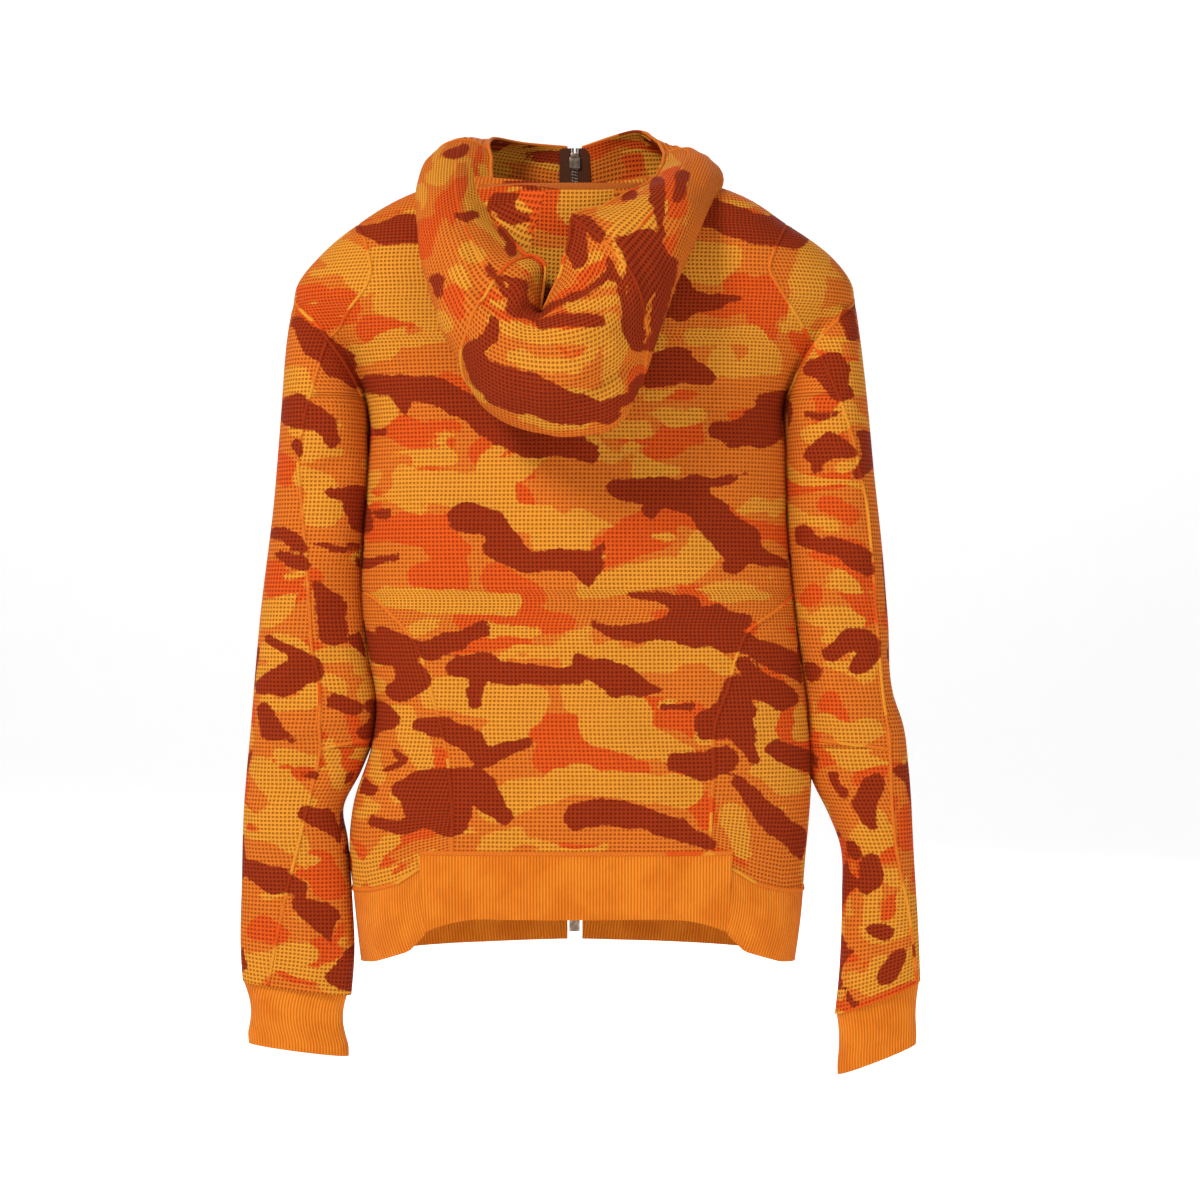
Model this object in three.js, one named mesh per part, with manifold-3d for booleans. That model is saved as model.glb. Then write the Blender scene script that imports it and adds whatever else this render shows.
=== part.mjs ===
// A full-zip hooded jacket in waffle knit, as it hangs from its shoulders: a shell of sewn panels,
// rib-knit hem band and cuffs, a three-panel hood fallen down the back, and a metal zip.
// Millimetres. +X is the wearer's right, +Y the front with the zip, +Z up. The origin is the
// middle of the neck, level with the nape seam, where the jacket is held up.
import * as THREE from "three";
import { mergeVertices } from "three/addons/utils/BufferGeometryUtils.js";
import Module from "manifold-3d";

const wasm = await Module();
wasm.setup();

// ---- Driving dimensions -------------------------------------------------------------------
const CLOTH = 2.4; // thickness of the knit with its seam allowance
const SEAM = 0.3; // gap between pieces that are sewn together
const ARMHOLE_SEAM = 0.6; // gap along the armhole, where the sleeve turns

const SHOULDER_X = 244; // shoulder tip, from the middle
const SHOULDER_Z = -88;
const ARMPIT_Z = -172;
const CHEST_HALF = 183; // half widths of the body
const WAIST_HALF = 194;
const HEM_HALF = 200;
const NECK_HALF = 100; // shoulder point of the neck seam
const NECK_Z = 18;
const NAPE_Z = 5; // middle of the back neck seam
const FRONT_NECK_Z = -38; // front neck seam at the zip
const FRONT_Y = 84; // the front is held flat by the zip
const BACK_Y = -80; // chest depth behind the middle
const HEM_BACK_Y = -66;
const FRONT_FLAT = 16; // half width of the flat strip that carries the zip

const BAND_SEAM_Z = -576; // hem band seam at the middle of the back
const BAND_DEPTH = 56;
const SIDE_DROP = 32; // how much lower the band hangs at the sides
const FRONT_DROP = 28; // and at the front
const BAND_STEP_X = 134; // where the back band is sewn to the side bands
const PRINCESS_TOP_Z = -341; // curved side-back seam, from the side seam...
const PRINCESS_HEM_X = 110; // ...to the band

const SLEEVE_GAP = 12; // between the sleeve and the body
const UPPER_SLEEVE = 68; // sleeve widths, flat
const WRIST_SLEEVE = 87;
const SLEEVE_END_Z = -684; // cuff seam
const ELBOW_Z = -478;
const CUFF_DEPTH = 60;
const CUFF_WIDTH = 82;
const CUFF_HALF_DEPTH = 15;

const HOOD_TOP_Z = 62; // top of the hood fronts at the zip
const HOOD_BAG_Z = -205; // lowest point of the hood down the back
const HOOD_BAG_DEPTH = 94; // how far the bag stands off the back
const HOOD_LEFT = -138; // edges of the bag at the nape
const HOOD_RIGHT = 120;
const HOOD_CLEAR = 4; // between the bag and the back panel
const HOOD_V_Z = -90; // bottom of the hood's face opening
const HOOD_FACING = 26; // width of the facing along the face opening
const HOOD_SEAM_LEFT = -86; // seams of the hood's centre panel
const HOOD_SEAM_RIGHT = 42;
const NAPE_BEAD = 1.2; // radius of the seam roll at the nape, which the hood turns on
const NAPE_HALF = 36; // half length of that seam roll

const ZIP_EDGE = 7; // fabric edge to the middle of the zip
const ZIP_TOP_Z = 60;
const TAPE_WIDTH = 11;
const TAPE_THICK = 1.2;
const TEETH_PITCH = 16;
const TOOTH = { reach: 2, deep: 3, tall: 3 };
const TEETH_GAP = 1.4; // between the two rows, for the slider's post
const SLIDER = { width: 9.6, tall: 14, plate: 1.2, post: 0.8 };
const PULL_LENGTH = 30;
const PULL_WIDTH = 6.4;
const PULL_THICK = 1.4;
const CLEAR = 0.3; // running clearance of the zip parts

// ---- Solids ---------------------------------------------------------------------------------
function solid(geometry) {
  geometry.deleteAttribute("normal");
  geometry.deleteAttribute("uv");
  const merged = mergeVertices(geometry, 1e-4);
  return new wasm.Manifold(
    new wasm.Mesh({
      numProp: 3,
      vertProperties: merged.attributes.position.array,
      triVerts: new Uint32Array(merged.index.array),
    }),
  );
}

// A closed solid through rings of equal length, listed from the bottom up, each anticlockwise from above.
function loft(rings) {
  const n = rings[0].length;
  const points = rings.flat();
  const faces = [];
  for (let k = 0; k + 1 < rings.length; k++)
    for (let i = 0; i < n; i++) {
      const a = k * n + i;
      const b = k * n + ((i + 1) % n);
      faces.push(a, b, b + n, a, b + n, a + n);
    }
  for (const [ring, start, up] of [[rings[0], 0, false], [rings.at(-1), points.length - n, true]]) {
    const middle = ring.reduce((sum, p) => sum.add(p), new THREE.Vector3()).divideScalar(n);
    const hub = points.push(middle) - 1;
    for (let i = 0; i < n; i++) {
      const a = start + i;
      const b = start + ((i + 1) % n);
      faces.push(hub, up ? a : b, up ? b : a);
    }
  }
  const geometry = new THREE.BufferGeometry().setFromPoints(points);
  geometry.setIndex(faces);
  return solid(geometry);
}

// A slab of the XZ plane, drawn as an outline and running along Y.
function slab(outline, yLow, yHigh) {
  const shape = new THREE.Shape(outline.map(([x, z]) => new THREE.Vector2(x, z)));
  const depth = yHigh - yLow;
  const geometry = new THREE.ExtrudeGeometry(shape, { depth, bevelEnabled: false });
  return solid(geometry.rotateX(Math.PI / 2).translate(0, yHigh, 0));
}

function box(xLow, xHigh, yLow, yHigh, zLow, zHigh) {
  const geometry = new THREE.BoxGeometry(xHigh - xLow, yHigh - yLow, zHigh - zLow);
  geometry.translate((xLow + xHigh) / 2, (yLow + yHigh) / 2, (zLow + zHigh) / 2);
  return solid(geometry);
}

// Straight-line interpolation in a list of [z, value] from the top down.
function at(stations, z) {
  const i = Math.max(1, stations.findIndex(([level]) => level <= z));
  const [[z0, v0], [z1, v1]] = [stations[i - 1], stations[i] ?? stations[i - 1]];
  return z0 === z1 ? v0 : THREE.MathUtils.mapLinear(THREE.MathUtils.clamp(z, z1, z0), z0, z1, v0, v1);
}

const mirror = (outline, side) => outline.map(([x, z]) => [x * side, z]);
const curve = (points, steps) =>
  new THREE.SplineCurve(points.map(([x, z]) => new THREE.Vector2(x, z)))
    .getPoints(steps)
    .map((p) => [p.x, p.y]);

// ---- Body and hood fronts: one lofted skin ----------------------------------------------------
const FAR = 500; // beyond the jacket, for cutting outlines
const QUARTER = 8; // ring points in a quarter turn

function bodyRing(z, half, front, back, inset) {
  const ring = [];
  const flat = Math.min(FRONT_FLAT, half / 2);
  for (const [sx, sy] of [[1, 1], [-1, 1], [-1, -1], [1, -1]])
    for (let i = 0; i <= QUARTER; i++) {
      const step = sx * sy > 0 ? i : QUARTER - i;
      if (i === QUARTER && step === 0) continue;
      if (i === 0 && step === 0 && sx * sy > 0 && sx < 0) continue;
      const turn = (step / QUARTER) * (Math.PI / 2);
      const reach = half - inset - flat;
      const y = (sy > 0 ? front - inset : -(back + inset)) * Math.sin(turn) ** 0.85;
      ring.push(new THREE.Vector3(sx * (flat + reach * Math.cos(turn) ** 0.85), sy * y, z));
    }
  return ring.filter((p, i) => i === 0 || p.distanceTo(ring[i - 1]) > 1e-6);
}

const bandEnd = BAND_SEAM_Z - SIDE_DROP - BAND_DEPTH - 20; // below every hem edge
const share = (t) => THREE.MathUtils.lerp(ARMPIT_Z, BAND_SEAM_Z, t);
const halfWidths = [
  [ARMPIT_Z, CHEST_HALF],
  [share(0.25), CHEST_HALF + 4],
  [share(0.45), THREE.MathUtils.lerp(CHEST_HALF, WAIST_HALF, 0.75)],
  [share(0.66), WAIST_HALF],
  [share(0.86), HEM_HALF],
  [BAND_SEAM_Z, HEM_HALF],
  [bandEnd, HEM_HALF - 8],
];
const backDepths = [
  [ARMPIT_Z, BACK_Y],
  [share(0.5), BACK_Y + 3],
  [BAND_SEAM_Z, HEM_BACK_Y],
  [bandEnd, HEM_BACK_Y + 4],
];

// Above the armpit: [z, half width, back depth]. The rings close over the shoulders, then rise
// as the fronts of the hood, which lean forward to the zip.
const yoke = [
  [(ARMPIT_Z + SHOULDER_Z) / 2, (CHEST_HALF + SHOULDER_X) / 2, BACK_Y],
  [SHOULDER_Z, SHOULDER_X, BACK_Y],
  [THREE.MathUtils.lerp(SHOULDER_Z, NECK_Z, 0.58), THREE.MathUtils.lerp(SHOULDER_X, NECK_HALF, 0.36), BACK_Y + 2],
  [THREE.MathUtils.lerp(SHOULDER_Z, NECK_Z, 0.87), THREE.MathUtils.lerp(SHOULDER_X, NECK_HALF, 0.7), BACK_Y + 6],
  [NECK_Z, NECK_HALF + 22, BACK_Y + 14],
  [NECK_Z + 16, NECK_HALF + 18, -50],
  [NECK_Z + 32, NECK_HALF + 2, -24],
  [HOOD_TOP_Z, NECK_HALF - 26, -8],
];

const yokeBack = yoke.map(([z, , back]) => [z, back]).reverse();

function bodySkin(inset) {
  const lower = halfWidths.map(([z, half]) => bodyRing(z, half, FRONT_Y, at(backDepths, z), inset));
  const upper = yoke.map(([z, half, back]) => bodyRing(z, half, FRONT_Y, back, inset));
  if (inset > 0) {
    const [top] = upper.slice(-1);
    upper.push(top.map((p) => p.clone().setZ(HOOD_TOP_Z + 10)));
    lower.push(lower.at(-1).map((p) => p.clone().setZ(bandEnd - 10)));
  }
  return loft([...lower.reverse(), ...upper]);
}

// ---- Sleeves ----------------------------------------------------------------------------------
const cuffEndZ = SLEEVE_END_Z - CUFF_DEPTH;
const down = (t) => THREE.MathUtils.lerp(ARMPIT_Z, SLEEVE_END_Z, t);
// [z, inner edge, outer edge, half depth], from the shoulder tip down.
const sleeveStations = [
  [SHOULDER_Z, SHOULDER_X - 18, SHOULDER_X, 17],
  [SHOULDER_Z - 12, SHOULDER_X - 30, SHOULDER_X + 2, 30],
  [(SHOULDER_Z + ARMPIT_Z) / 2, CHEST_HALF + 14, SHOULDER_X + 7, 44],
  [ARMPIT_Z, CHEST_HALF + 3, CHEST_HALF + 3 + UPPER_SLEEVE, 50],
  ...[0.1, 0.25, 0.4, 0.55, 0.7, 0.85, 1].map((t) => {
    const inner = at(halfWidths, down(t)) + SLEEVE_GAP;
    const width = THREE.MathUtils.lerp(UPPER_SLEEVE, WRIST_SLEEVE, t);
    return [down(t), inner, inner + width, THREE.MathUtils.lerp(49, 19, Math.sqrt(t))];
  }),
];
const cuffInner = at(halfWidths, SLEEVE_END_Z) + SLEEVE_GAP + (WRIST_SLEEVE - CUFF_WIDTH) / 2;

function sleeveRing([z, inner, outer, halfDepth], side, inset, count = 20) {
  return Array.from({ length: count }, (_, i) => {
    const turn = (2 * Math.PI * i) / count;
    const x = (inner + outer) / 2 + side * ((outer - inner) / 2 - inset) * Math.cos(turn);
    return new THREE.Vector3(side * x, (halfDepth - inset) * Math.sin(turn), z);
  });
}

function sleeveSkin(side, inset) {
  const stations = inset > 0
    ? [...sleeveStations.slice(1), [SLEEVE_END_Z - 10, ...sleeveStations.at(-1).slice(1)]]
    : sleeveStations;
  return loft(stations.map((station) => sleeveRing(station, side, inset)).reverse());
}

const cuffStation = (z) => [z, cuffInner, cuffInner + CUFF_WIDTH, CUFF_HALF_DEPTH];
const cuffSkin = (side, inset) =>
  loft([cuffEndZ - (inset > 0 ? 10 : 0), SLEEVE_END_Z - SEAM + (inset > 0 ? 10 : 0)]
    .map((z) => sleeveRing(cuffStation(z), side, inset)));

const outer = bodySkin(0).add(sleeveSkin(1, 0)).add(sleeveSkin(-1, 0));
const inner = bodySkin(CLOTH).add(sleeveSkin(1, CLOTH)).add(sleeveSkin(-1, CLOTH));
const shell = outer.subtract(inner);

// ---- Seam lines (drawn for the wearer's right, +X) ----------------------------------------------
const armholeSlope = (SHOULDER_Z - ARMPIT_Z) / (SHOULDER_X - CHEST_HALF);
const armholeX = (z) => SHOULDER_X + (z - SHOULDER_Z) / armholeSlope;
// Everything outside the armhole and, below the armpit, outside the body; moved out along X by a gap.
const beyondArmhole = (gap) => [
  ...halfWidths.slice(1).map(([z, half]) => [half + SLEEVE_GAP / 2, z]).reverse(),
  [CHEST_HALF + 1.5 + gap, ARMPIT_Z],
  [armholeX(SHOULDER_Z + 40) + gap, SHOULDER_Z + 40],
  [FAR, SHOULDER_Z + 40],
  [FAR, -2 * FAR],
  [HEM_HALF + SLEEVE_GAP / 2 - 8, -2 * FAR],
];
const armholeGapX = ARMHOLE_SEAM * Math.hypot(1, 1 / armholeSlope);

const patchEndZ = THREE.MathUtils.lerp(SHOULDER_Z, ARMPIT_Z, 0.52);
const patchSeam = curve([
  [SHOULDER_X - 44, SHOULDER_Z + 76],
  [SHOULDER_X - 64, SHOULDER_Z + 47],
  [SHOULDER_X - 72, SHOULDER_Z + 15],
  [SHOULDER_X - 58, SHOULDER_Z - 9],
  [armholeX(patchEndZ) - 2, patchEndZ],
], 12);
const princessSeam = curve([
  [HEM_HALF + 20, PRINCESS_TOP_Z + 14],
  [WAIST_HALF - 2, PRINCESS_TOP_Z],
  [WAIST_HALF - 38, PRINCESS_TOP_Z - 29],
  [PRINCESS_HEM_X + 22, PRINCESS_TOP_Z - 71],
  [PRINCESS_HEM_X + 3, PRINCESS_TOP_Z - 139],
  [PRINCESS_HEM_X, BAND_SEAM_Z],
], 15);
const hemLine = (z, drop) => [
  [0, z - drop],
  [BAND_STEP_X - 18, z - drop],
  [BAND_STEP_X + 22, z - Math.max(drop, SIDE_DROP * 0.8)],
  [HEM_HALF, z - SIDE_DROP],
  [FAR, z - SIDE_DROP],
];
const neckEnd = [NECK_HALF + 22, NECK_Z + 2];
const neckBack = [[0, NAPE_Z], [NAPE_HALF + 6, NAPE_Z], [NECK_HALF, NECK_Z - 3], neckEnd];
const neckFront = [[0, FRONT_NECK_Z], [NECK_HALF * 0.45, FRONT_NECK_Z + 10], [NECK_HALF * 0.85, -4], neckEnd];

// Cutters for a whole half of the jacket above or below a line that starts at x = 0.
const above = (line, side, yLow, yHigh) =>
  slab(mirror([...line, [FAR, line.at(-1)[1]], [FAR, FAR], [0, FAR]], side), yLow, yHigh);
const below = (line, side, yLow, yHigh) =>
  slab(mirror([...line, [FAR, line.at(-1)[1]], [FAR, -2 * FAR], [0, -2 * FAR]], side), yLow, yHigh);
const BOTH = [-FAR, FAR];
const LAP = 0.05; // the front and back cutters lap at the side seam, so that neither leaves a sliver
const BACK_HALF = [-FAR, LAP];
const FRONT_HALF = [-LAP, FAR];

// Moves a line along z, so that two pieces cut on either side of it keep the seam gap.
const raise = (line, dz) => line.map(([x, z]) => [x, z + dz]);
const shift = (line, dx) => line.map(([x, z]) => [x + dx, z]);

const patchArea = (gap) => [...shift(patchSeam, gap), [FAR, patchEndZ], [FAR, SHOULDER_Z + 76]];
const sideArea = (gap) => [...raise(princessSeam, -gap).map(([x, z]) => [x + gap, z]),
  [PRINCESS_HEM_X + gap, -2 * FAR], [FAR, -2 * FAR], [FAR, PRINCESS_TOP_Z + 14]];

const COLOURS = { knit: 0xd9782d, knitDark: 0xa2461a, rib: 0xf29a38, tape: 0x4a2417, metal: 0x6b5a4a };
const jacket = new THREE.Group();

function piece(name, made, colour, roughness = 0.9, metalness = 0) {
  const mesh = made.getMesh();
  const geometry = new THREE.BufferGeometry();
  geometry.setAttribute("position", new THREE.BufferAttribute(mesh.vertProperties, 3));
  geometry.setIndex(new THREE.BufferAttribute(mesh.triVerts, 1));
  const material = new THREE.MeshStandardMaterial({ color: colour, roughness, metalness });
  const node = new THREE.Mesh(geometry, material);
  node.name = name;
  jacket.add(node);
}

// The body shell between the zip edges, the armholes, the neck seam and the band seam.
const bodyShell = shell
  .subtract(slab(mirror(beyondArmhole(0), 1), ...BOTH))
  .subtract(slab(mirror(beyondArmhole(0), -1), ...BOTH))
  .subtract(box(-ZIP_EDGE, ZIP_EDGE, 0, FAR, -2 * FAR, FAR));

const sides = [["right", 1], ["left", -1]];
const bandSeamBack = hemLine(BAND_SEAM_Z, 0);
const bandSeamFront = hemLine(BAND_SEAM_Z, FRONT_DROP);
const halfSpace = (side, y0, y1) => box(Math.min(0, side * FAR), Math.max(0, side * FAR), y0, y1, -2 * FAR, FAR);

// Back panel: one piece from the nape to the band, between the side-back seams.
let back = bodyShell.intersect(box(-FAR, FAR, -FAR, -SEAM / 2, -2 * FAR, FAR));
for (const [, side] of sides)
  back = back
    .subtract(above(neckBack, side, ...BOTH))
    .subtract(below(bandSeamBack, side, ...BOTH))
    .subtract(slab(mirror(patchArea(-SEAM), side), ...BOTH))
    .subtract(slab(mirror(sideArea(0), side), ...BOTH));
piece("back_panel", back, COLOURS.knit);

for (const [name, side] of sides) {
  const half = halfSpace(side, ...BOTH);
  const frontHalf = box(-FAR, FAR, SEAM / 2, FAR, -2 * FAR, FAR);
  const sidePiece = bodyShell.intersect(half);

  piece("front_panel_" + name, sidePiece.intersect(frontHalf)
    .subtract(above(neckFront, side, ...BOTH))
    .subtract(below(bandSeamFront, side, ...BOTH))
    .subtract(slab(mirror(patchArea(-SEAM), side), ...BOTH))
    .subtract(slab(mirror(sideArea(0), side), ...BOTH)), COLOURS.knit);

  piece("side_panel_" + name, sidePiece
    .intersect(slab(mirror(sideArea(SEAM), side), ...BOTH))
    .subtract(below(bandSeamBack, side, ...BACK_HALF))
    .subtract(below(bandSeamFront, side, ...FRONT_HALF)), COLOURS.knit);

  piece("shoulder_patch_" + name, sidePiece
    .intersect(slab(mirror(patchArea(0), side), ...BOTH)), COLOURS.knit);

  const fronts = sidePiece
    .subtract(below(raise(neckBack, SEAM), side, ...BACK_HALF))
    .subtract(below(raise(neckFront, SEAM), side, ...FRONT_HALF))
    .subtract(box(-FAR, FAR, -FAR, -34, -FAR, FAR))
    .subtract(box(-NECK_HALF * 0.62, NECK_HALF * 0.62, -FAR, FRONT_Y - 6, -10, FAR));
  piece("hood_front_" + name, fronts, COLOURS.knit);
}

// Hem band: a rib-knit band in three pieces, its back between the two side bands.
const hemBack = hemLine(BAND_SEAM_Z - BAND_DEPTH, 0);
const hemFront = hemLine(BAND_SEAM_Z - BAND_DEPTH, FRONT_DROP);
for (const [name, side] of sides) {
  const strip = bodyShell.intersect(halfSpace(side, ...BOTH));
  const backStrip = strip.intersect(halfSpace(side, -FAR, 0))
    .subtract(above(raise(bandSeamBack, -SEAM), side, ...BOTH))
    .subtract(below(hemBack, side, ...BOTH))
    .subtract(box(-BAND_STEP_X - SEAM, BAND_STEP_X + SEAM, ...BOTH, -2 * FAR, FAR));
  const frontStrip = strip.intersect(halfSpace(side, 0, FAR))
    .subtract(above(raise(bandSeamFront, -SEAM), side, ...BOTH))
    .subtract(below(hemFront, side, ...BOTH));
  piece("hem_band_" + name, backStrip.add(frontStrip), COLOURS.rib);
}
let hem = bodyShell.intersect(box(-BAND_STEP_X, BAND_STEP_X, -FAR, 0, -2 * FAR, FAR));
for (const [, side] of sides)
  hem = hem.subtract(above(raise(bandSeamBack, -SEAM), side, ...BOTH)).subtract(below(hemBack, side, ...BOTH));
piece("hem_band_back", hem, COLOURS.rib);

// A thin layer just inside or outside the body skin, for what is sewn to the panels.
const layer = (from, to) => bodySkin(from).subtract(bodySkin(to));
const neckTape = layer(CLOTH + SEAM, CLOTH + SEAM + 1.2)
  .intersect(box(-NECK_HALF * 0.8, NECK_HALF * 0.8, -FAR, -20, NAPE_Z - 14, NAPE_Z - 1));
piece("neck_tape", neckTape, COLOURS.knitDark);

const pocketBag = [[60, -400], [66, -330], [112, -330], [150, -430], [150, -540], [40, -540], [40, -440]];
const pocketMouth = [[64, -322], [76, -316], [150, -426], [139, -434]];
for (const [name, side] of sides) {
  const bag = layer(CLOTH + SEAM, CLOTH + SEAM + 1.5);
  piece("pocket_bag_" + name, bag.intersect(slab(mirror(pocketBag, side), 0, FAR)), COLOURS.knit);
  const proud = bodySkin(-SEAM - 1.6).subtract(bodySkin(-SEAM));
  piece("pocket_welt_" + name, proud.intersect(slab(mirror(pocketMouth, side), 0, FAR)), COLOURS.rib);
}

// Sleeves: an outer piece from shoulder to wrist, an under piece above the elbow, a forearm piece.
const innerEdges = sleeveStations.map(([z, edge]) => [z, edge]);
const outerEdges = sleeveStations.map(([z, , edge]) => [z, edge]);
const onSleeve = (t, z) => [THREE.MathUtils.lerp(at(innerEdges, z), at(outerEdges, z), t), z];
const backSeam = curve([
  [armholeX(patchEndZ) - 8, patchEndZ + 20],
  onSleeve(0.56, ARMPIT_Z - 32),
  onSleeve(0.53, ARMPIT_Z - 72),
  onSleeve(0.4, THREE.MathUtils.lerp(ARMPIT_Z, ELBOW_Z, 0.67)),
  onSleeve(0.4, ELBOW_Z),
], 14);
const forearmSeam = [
  onSleeve(0.4, ELBOW_Z),
  onSleeve(0.55, THREE.MathUtils.lerp(ELBOW_Z, SLEEVE_END_Z, 0.5)),
  onSleeve(0.9, SLEEVE_END_Z),
  onSleeve(0.9, SLEEVE_END_Z).map((v, i) => (i ? v - 20 : v)),
];
for (const [name, side] of sides) {
  const sleeve = shell.intersect(slab(mirror(beyondArmhole(armholeGapX), side), ...BOTH))
    .subtract(box(-FAR, FAR, ...BOTH, -2 * FAR, SLEEVE_END_Z));
  const seamLine = [...backSeam, ...forearmSeam.slice(1)];
  const innerArea = [...seamLine, [0, SLEEVE_END_Z - 20], [0, patchEndZ + 20]];
  const under = sleeve.intersect(slab(mirror(shift(innerArea, -SEAM), side), ...BOTH));
  piece("sleeve_outer_" + name,
    sleeve.subtract(slab(mirror(innerArea, side), ...BOTH)), COLOURS.knit);
  piece("sleeve_under_" + name,
    under.subtract(box(-FAR, FAR, ...BOTH, -2 * FAR, ELBOW_Z)), COLOURS.knit);
  piece("sleeve_forearm_" + name,
    under.subtract(box(-FAR, FAR, ...BOTH, ELBOW_Z - SEAM, FAR)), COLOURS.knit);
  piece("cuff_" + name, cuffSkin(side, 0).subtract(cuffSkin(side, CLOTH)), COLOURS.rib);
}

// ---- Hood, hanging down the back as an open bag ------------------------------------------------
// [z, left edge, right edge, depth], from the top down.
const bagDown = (t) => THREE.MathUtils.lerp(NAPE_Z, HOOD_BAG_Z, t);
const bagStations = [
  [NAPE_Z, HOOD_LEFT, HOOD_RIGHT, HOOD_BAG_DEPTH * 0.72],
  [bagDown(0.15), HOOD_LEFT - 2, HOOD_RIGHT - 14, HOOD_BAG_DEPTH * 0.9],
  [bagDown(0.4), HOOD_LEFT + 11, HOOD_RIGHT - 31, HOOD_BAG_DEPTH],
  [bagDown(0.61), HOOD_LEFT + 27, HOOD_RIGHT - 43, HOOD_BAG_DEPTH * 0.94],
  [bagDown(0.78), HOOD_LEFT + 47, HOOD_RIGHT - 58, HOOD_BAG_DEPTH * 0.78],
  [bagDown(0.91), HOOD_LEFT + 72, HOOD_RIGHT - 75, HOOD_BAG_DEPTH * 0.55],
  [HOOD_BAG_Z, HOOD_LEFT + 100, HOOD_RIGHT - 106, HOOD_BAG_DEPTH * 0.22],
];
const wallY = BACK_Y - HOOD_CLEAR;

function bagRing([z, left, right, depth], inset, count = 24) {
  return Array.from({ length: count }, (_, i) => {
    const turn = (2 * Math.PI * i) / count;
    const x = (left + right) / 2 + ((right - left) / 2 - inset) * Math.cos(turn);
    const y = wallY - depth / 2 + (depth / 2 - inset) * Math.sin(turn);
    return new THREE.Vector3(x, y, z);
  });
}

function bagSkin(inset) {
  const stations = bagStations.map(([z, ...rest], i) =>
    [i === bagStations.length - 1 ? z + inset : z, ...rest]);
  if (inset > 0) stations.unshift([NAPE_Z + 10, ...bagStations[0].slice(1)]);
  return loft(stations.map((station) => bagRing(station, inset)).reverse());
}

const faceMiddle = (HOOD_SEAM_LEFT + HOOD_SEAM_RIGHT) / 2;
const faceOutline = (grow) => [
  [faceMiddle, HOOD_V_Z - grow * 1.2],
  [HOOD_SEAM_RIGHT - 6 + grow, NAPE_Z + 20],
  [HOOD_SEAM_LEFT + 12 - grow, NAPE_Z + 20],
];
const faceCut = slab(faceOutline(0), -FAR, wallY - HOOD_BAG_DEPTH / 2);
const bag = bagSkin(0).subtract(bagSkin(CLOTH)).subtract(faceCut);
const across = (from, to) => box(from, to, ...BOTH, -2 * FAR, FAR);
piece("hood_panel_left", bag.intersect(across(-FAR, HOOD_SEAM_LEFT)), COLOURS.knit);
// The centre panel is sewn to the back panel along the nape: a seam roll above the back panel's edge.
const napeY = at(yokeBack, NAPE_Z) + CLOTH / 2;
const beadZ = NAPE_Z + SEAM + NAPE_BEAD;
const roll = solid(new THREE.CylinderGeometry(NAPE_BEAD, NAPE_BEAD, 2 * NAPE_HALF, 12)
  .rotateZ(Math.PI / 2).translate(0, napeY, beadZ));
const web = box(-NAPE_HALF, NAPE_HALF, wallY - CLOTH, napeY, beadZ - NAPE_BEAD, beadZ + NAPE_BEAD)
  .add(box(-NAPE_HALF, NAPE_HALF, wallY - CLOTH, wallY - 0.3, NAPE_Z - 12, beadZ + NAPE_BEAD));
piece("hood_panel_centre", bag.intersect(across(HOOD_SEAM_LEFT + SEAM, HOOD_SEAM_RIGHT - SEAM))
  .add(roll).add(web), COLOURS.knit);
piece("hood_panel_right", bag.intersect(across(HOOD_SEAM_RIGHT, FAR)), COLOURS.knit);
const facing = bagSkin(CLOTH + SEAM).subtract(bagSkin(CLOTH + SEAM + 1.6))
  .intersect(slab(faceOutline(HOOD_FACING), -FAR, wallY - HOOD_BAG_DEPTH * 0.42))
  .subtract(faceCut)
  .subtract(box(-FAR, FAR, ...BOTH, NAPE_Z - 1, FAR));
piece("hood_facing", facing, COLOURS.knit);

// ---- Zip ------------------------------------------------------------------------------------------
const tapeY = FRONT_Y - CLOTH - CLEAR - TAPE_THICK / 2; // middle of the tape and the teeth
const zipBottomZ = BAND_SEAM_Z - FRONT_DROP - BAND_DEPTH + 6;
const BOX_TALL = 13;
const boxTopZ = zipBottomZ + BOX_TALL;
const toothX = TEETH_GAP / 2;
const tapeX = toothX + TOOTH.reach + CLEAR;
const PIN_LENGTH = 24;

for (const [name, side] of sides) {
  const lift = (low, high) => [Math.min(side * low, side * high), Math.max(side * low, side * high)];
  piece("zip_tape_" + name, box(...lift(tapeX, tapeX + TAPE_WIDTH),
    tapeY - TAPE_THICK / 2, tapeY + TAPE_THICK / 2, boxTopZ + CLEAR, ZIP_TOP_Z), COLOURS.tape);

  const firstZ = side > 0 ? zipBottomZ + PIN_LENGTH + CLEAR : boxTopZ + CLEAR;
  const stopZ = ZIP_TOP_Z - 4;
  const lastZ = stopZ - CLEAR;
  const comb = [[toothX + TOOTH.reach, lastZ], [toothX + TOOTH.reach, firstZ], [toothX + 0.9, firstZ]];
  const count = Math.floor((lastZ - firstZ - 2 * TOOTH.tall) / TEETH_PITCH) + 1;
  for (let i = 0; i < count; i++) {
    const z = firstZ + 1 + i * TEETH_PITCH;
    comb.push([toothX + 0.9, z], [toothX, z], [toothX, z + TOOTH.tall], [toothX + 0.9, z + TOOTH.tall]);
  }
  comb.push([toothX + 0.9, lastZ]);
  const teeth = slab(mirror(comb, side), tapeY - TOOTH.deep / 2, tapeY + TOOTH.deep / 2);
  piece("zip_teeth_" + name, teeth, COLOURS.metal, 0.4, 1);
  piece("zip_top_stop_" + name, box(...lift(toothX, toothX + TOOTH.reach),
    tapeY - TOOTH.deep / 2, tapeY + TOOTH.deep / 2, stopZ, ZIP_TOP_Z), COLOURS.metal, 0.4, 1);
}

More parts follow.
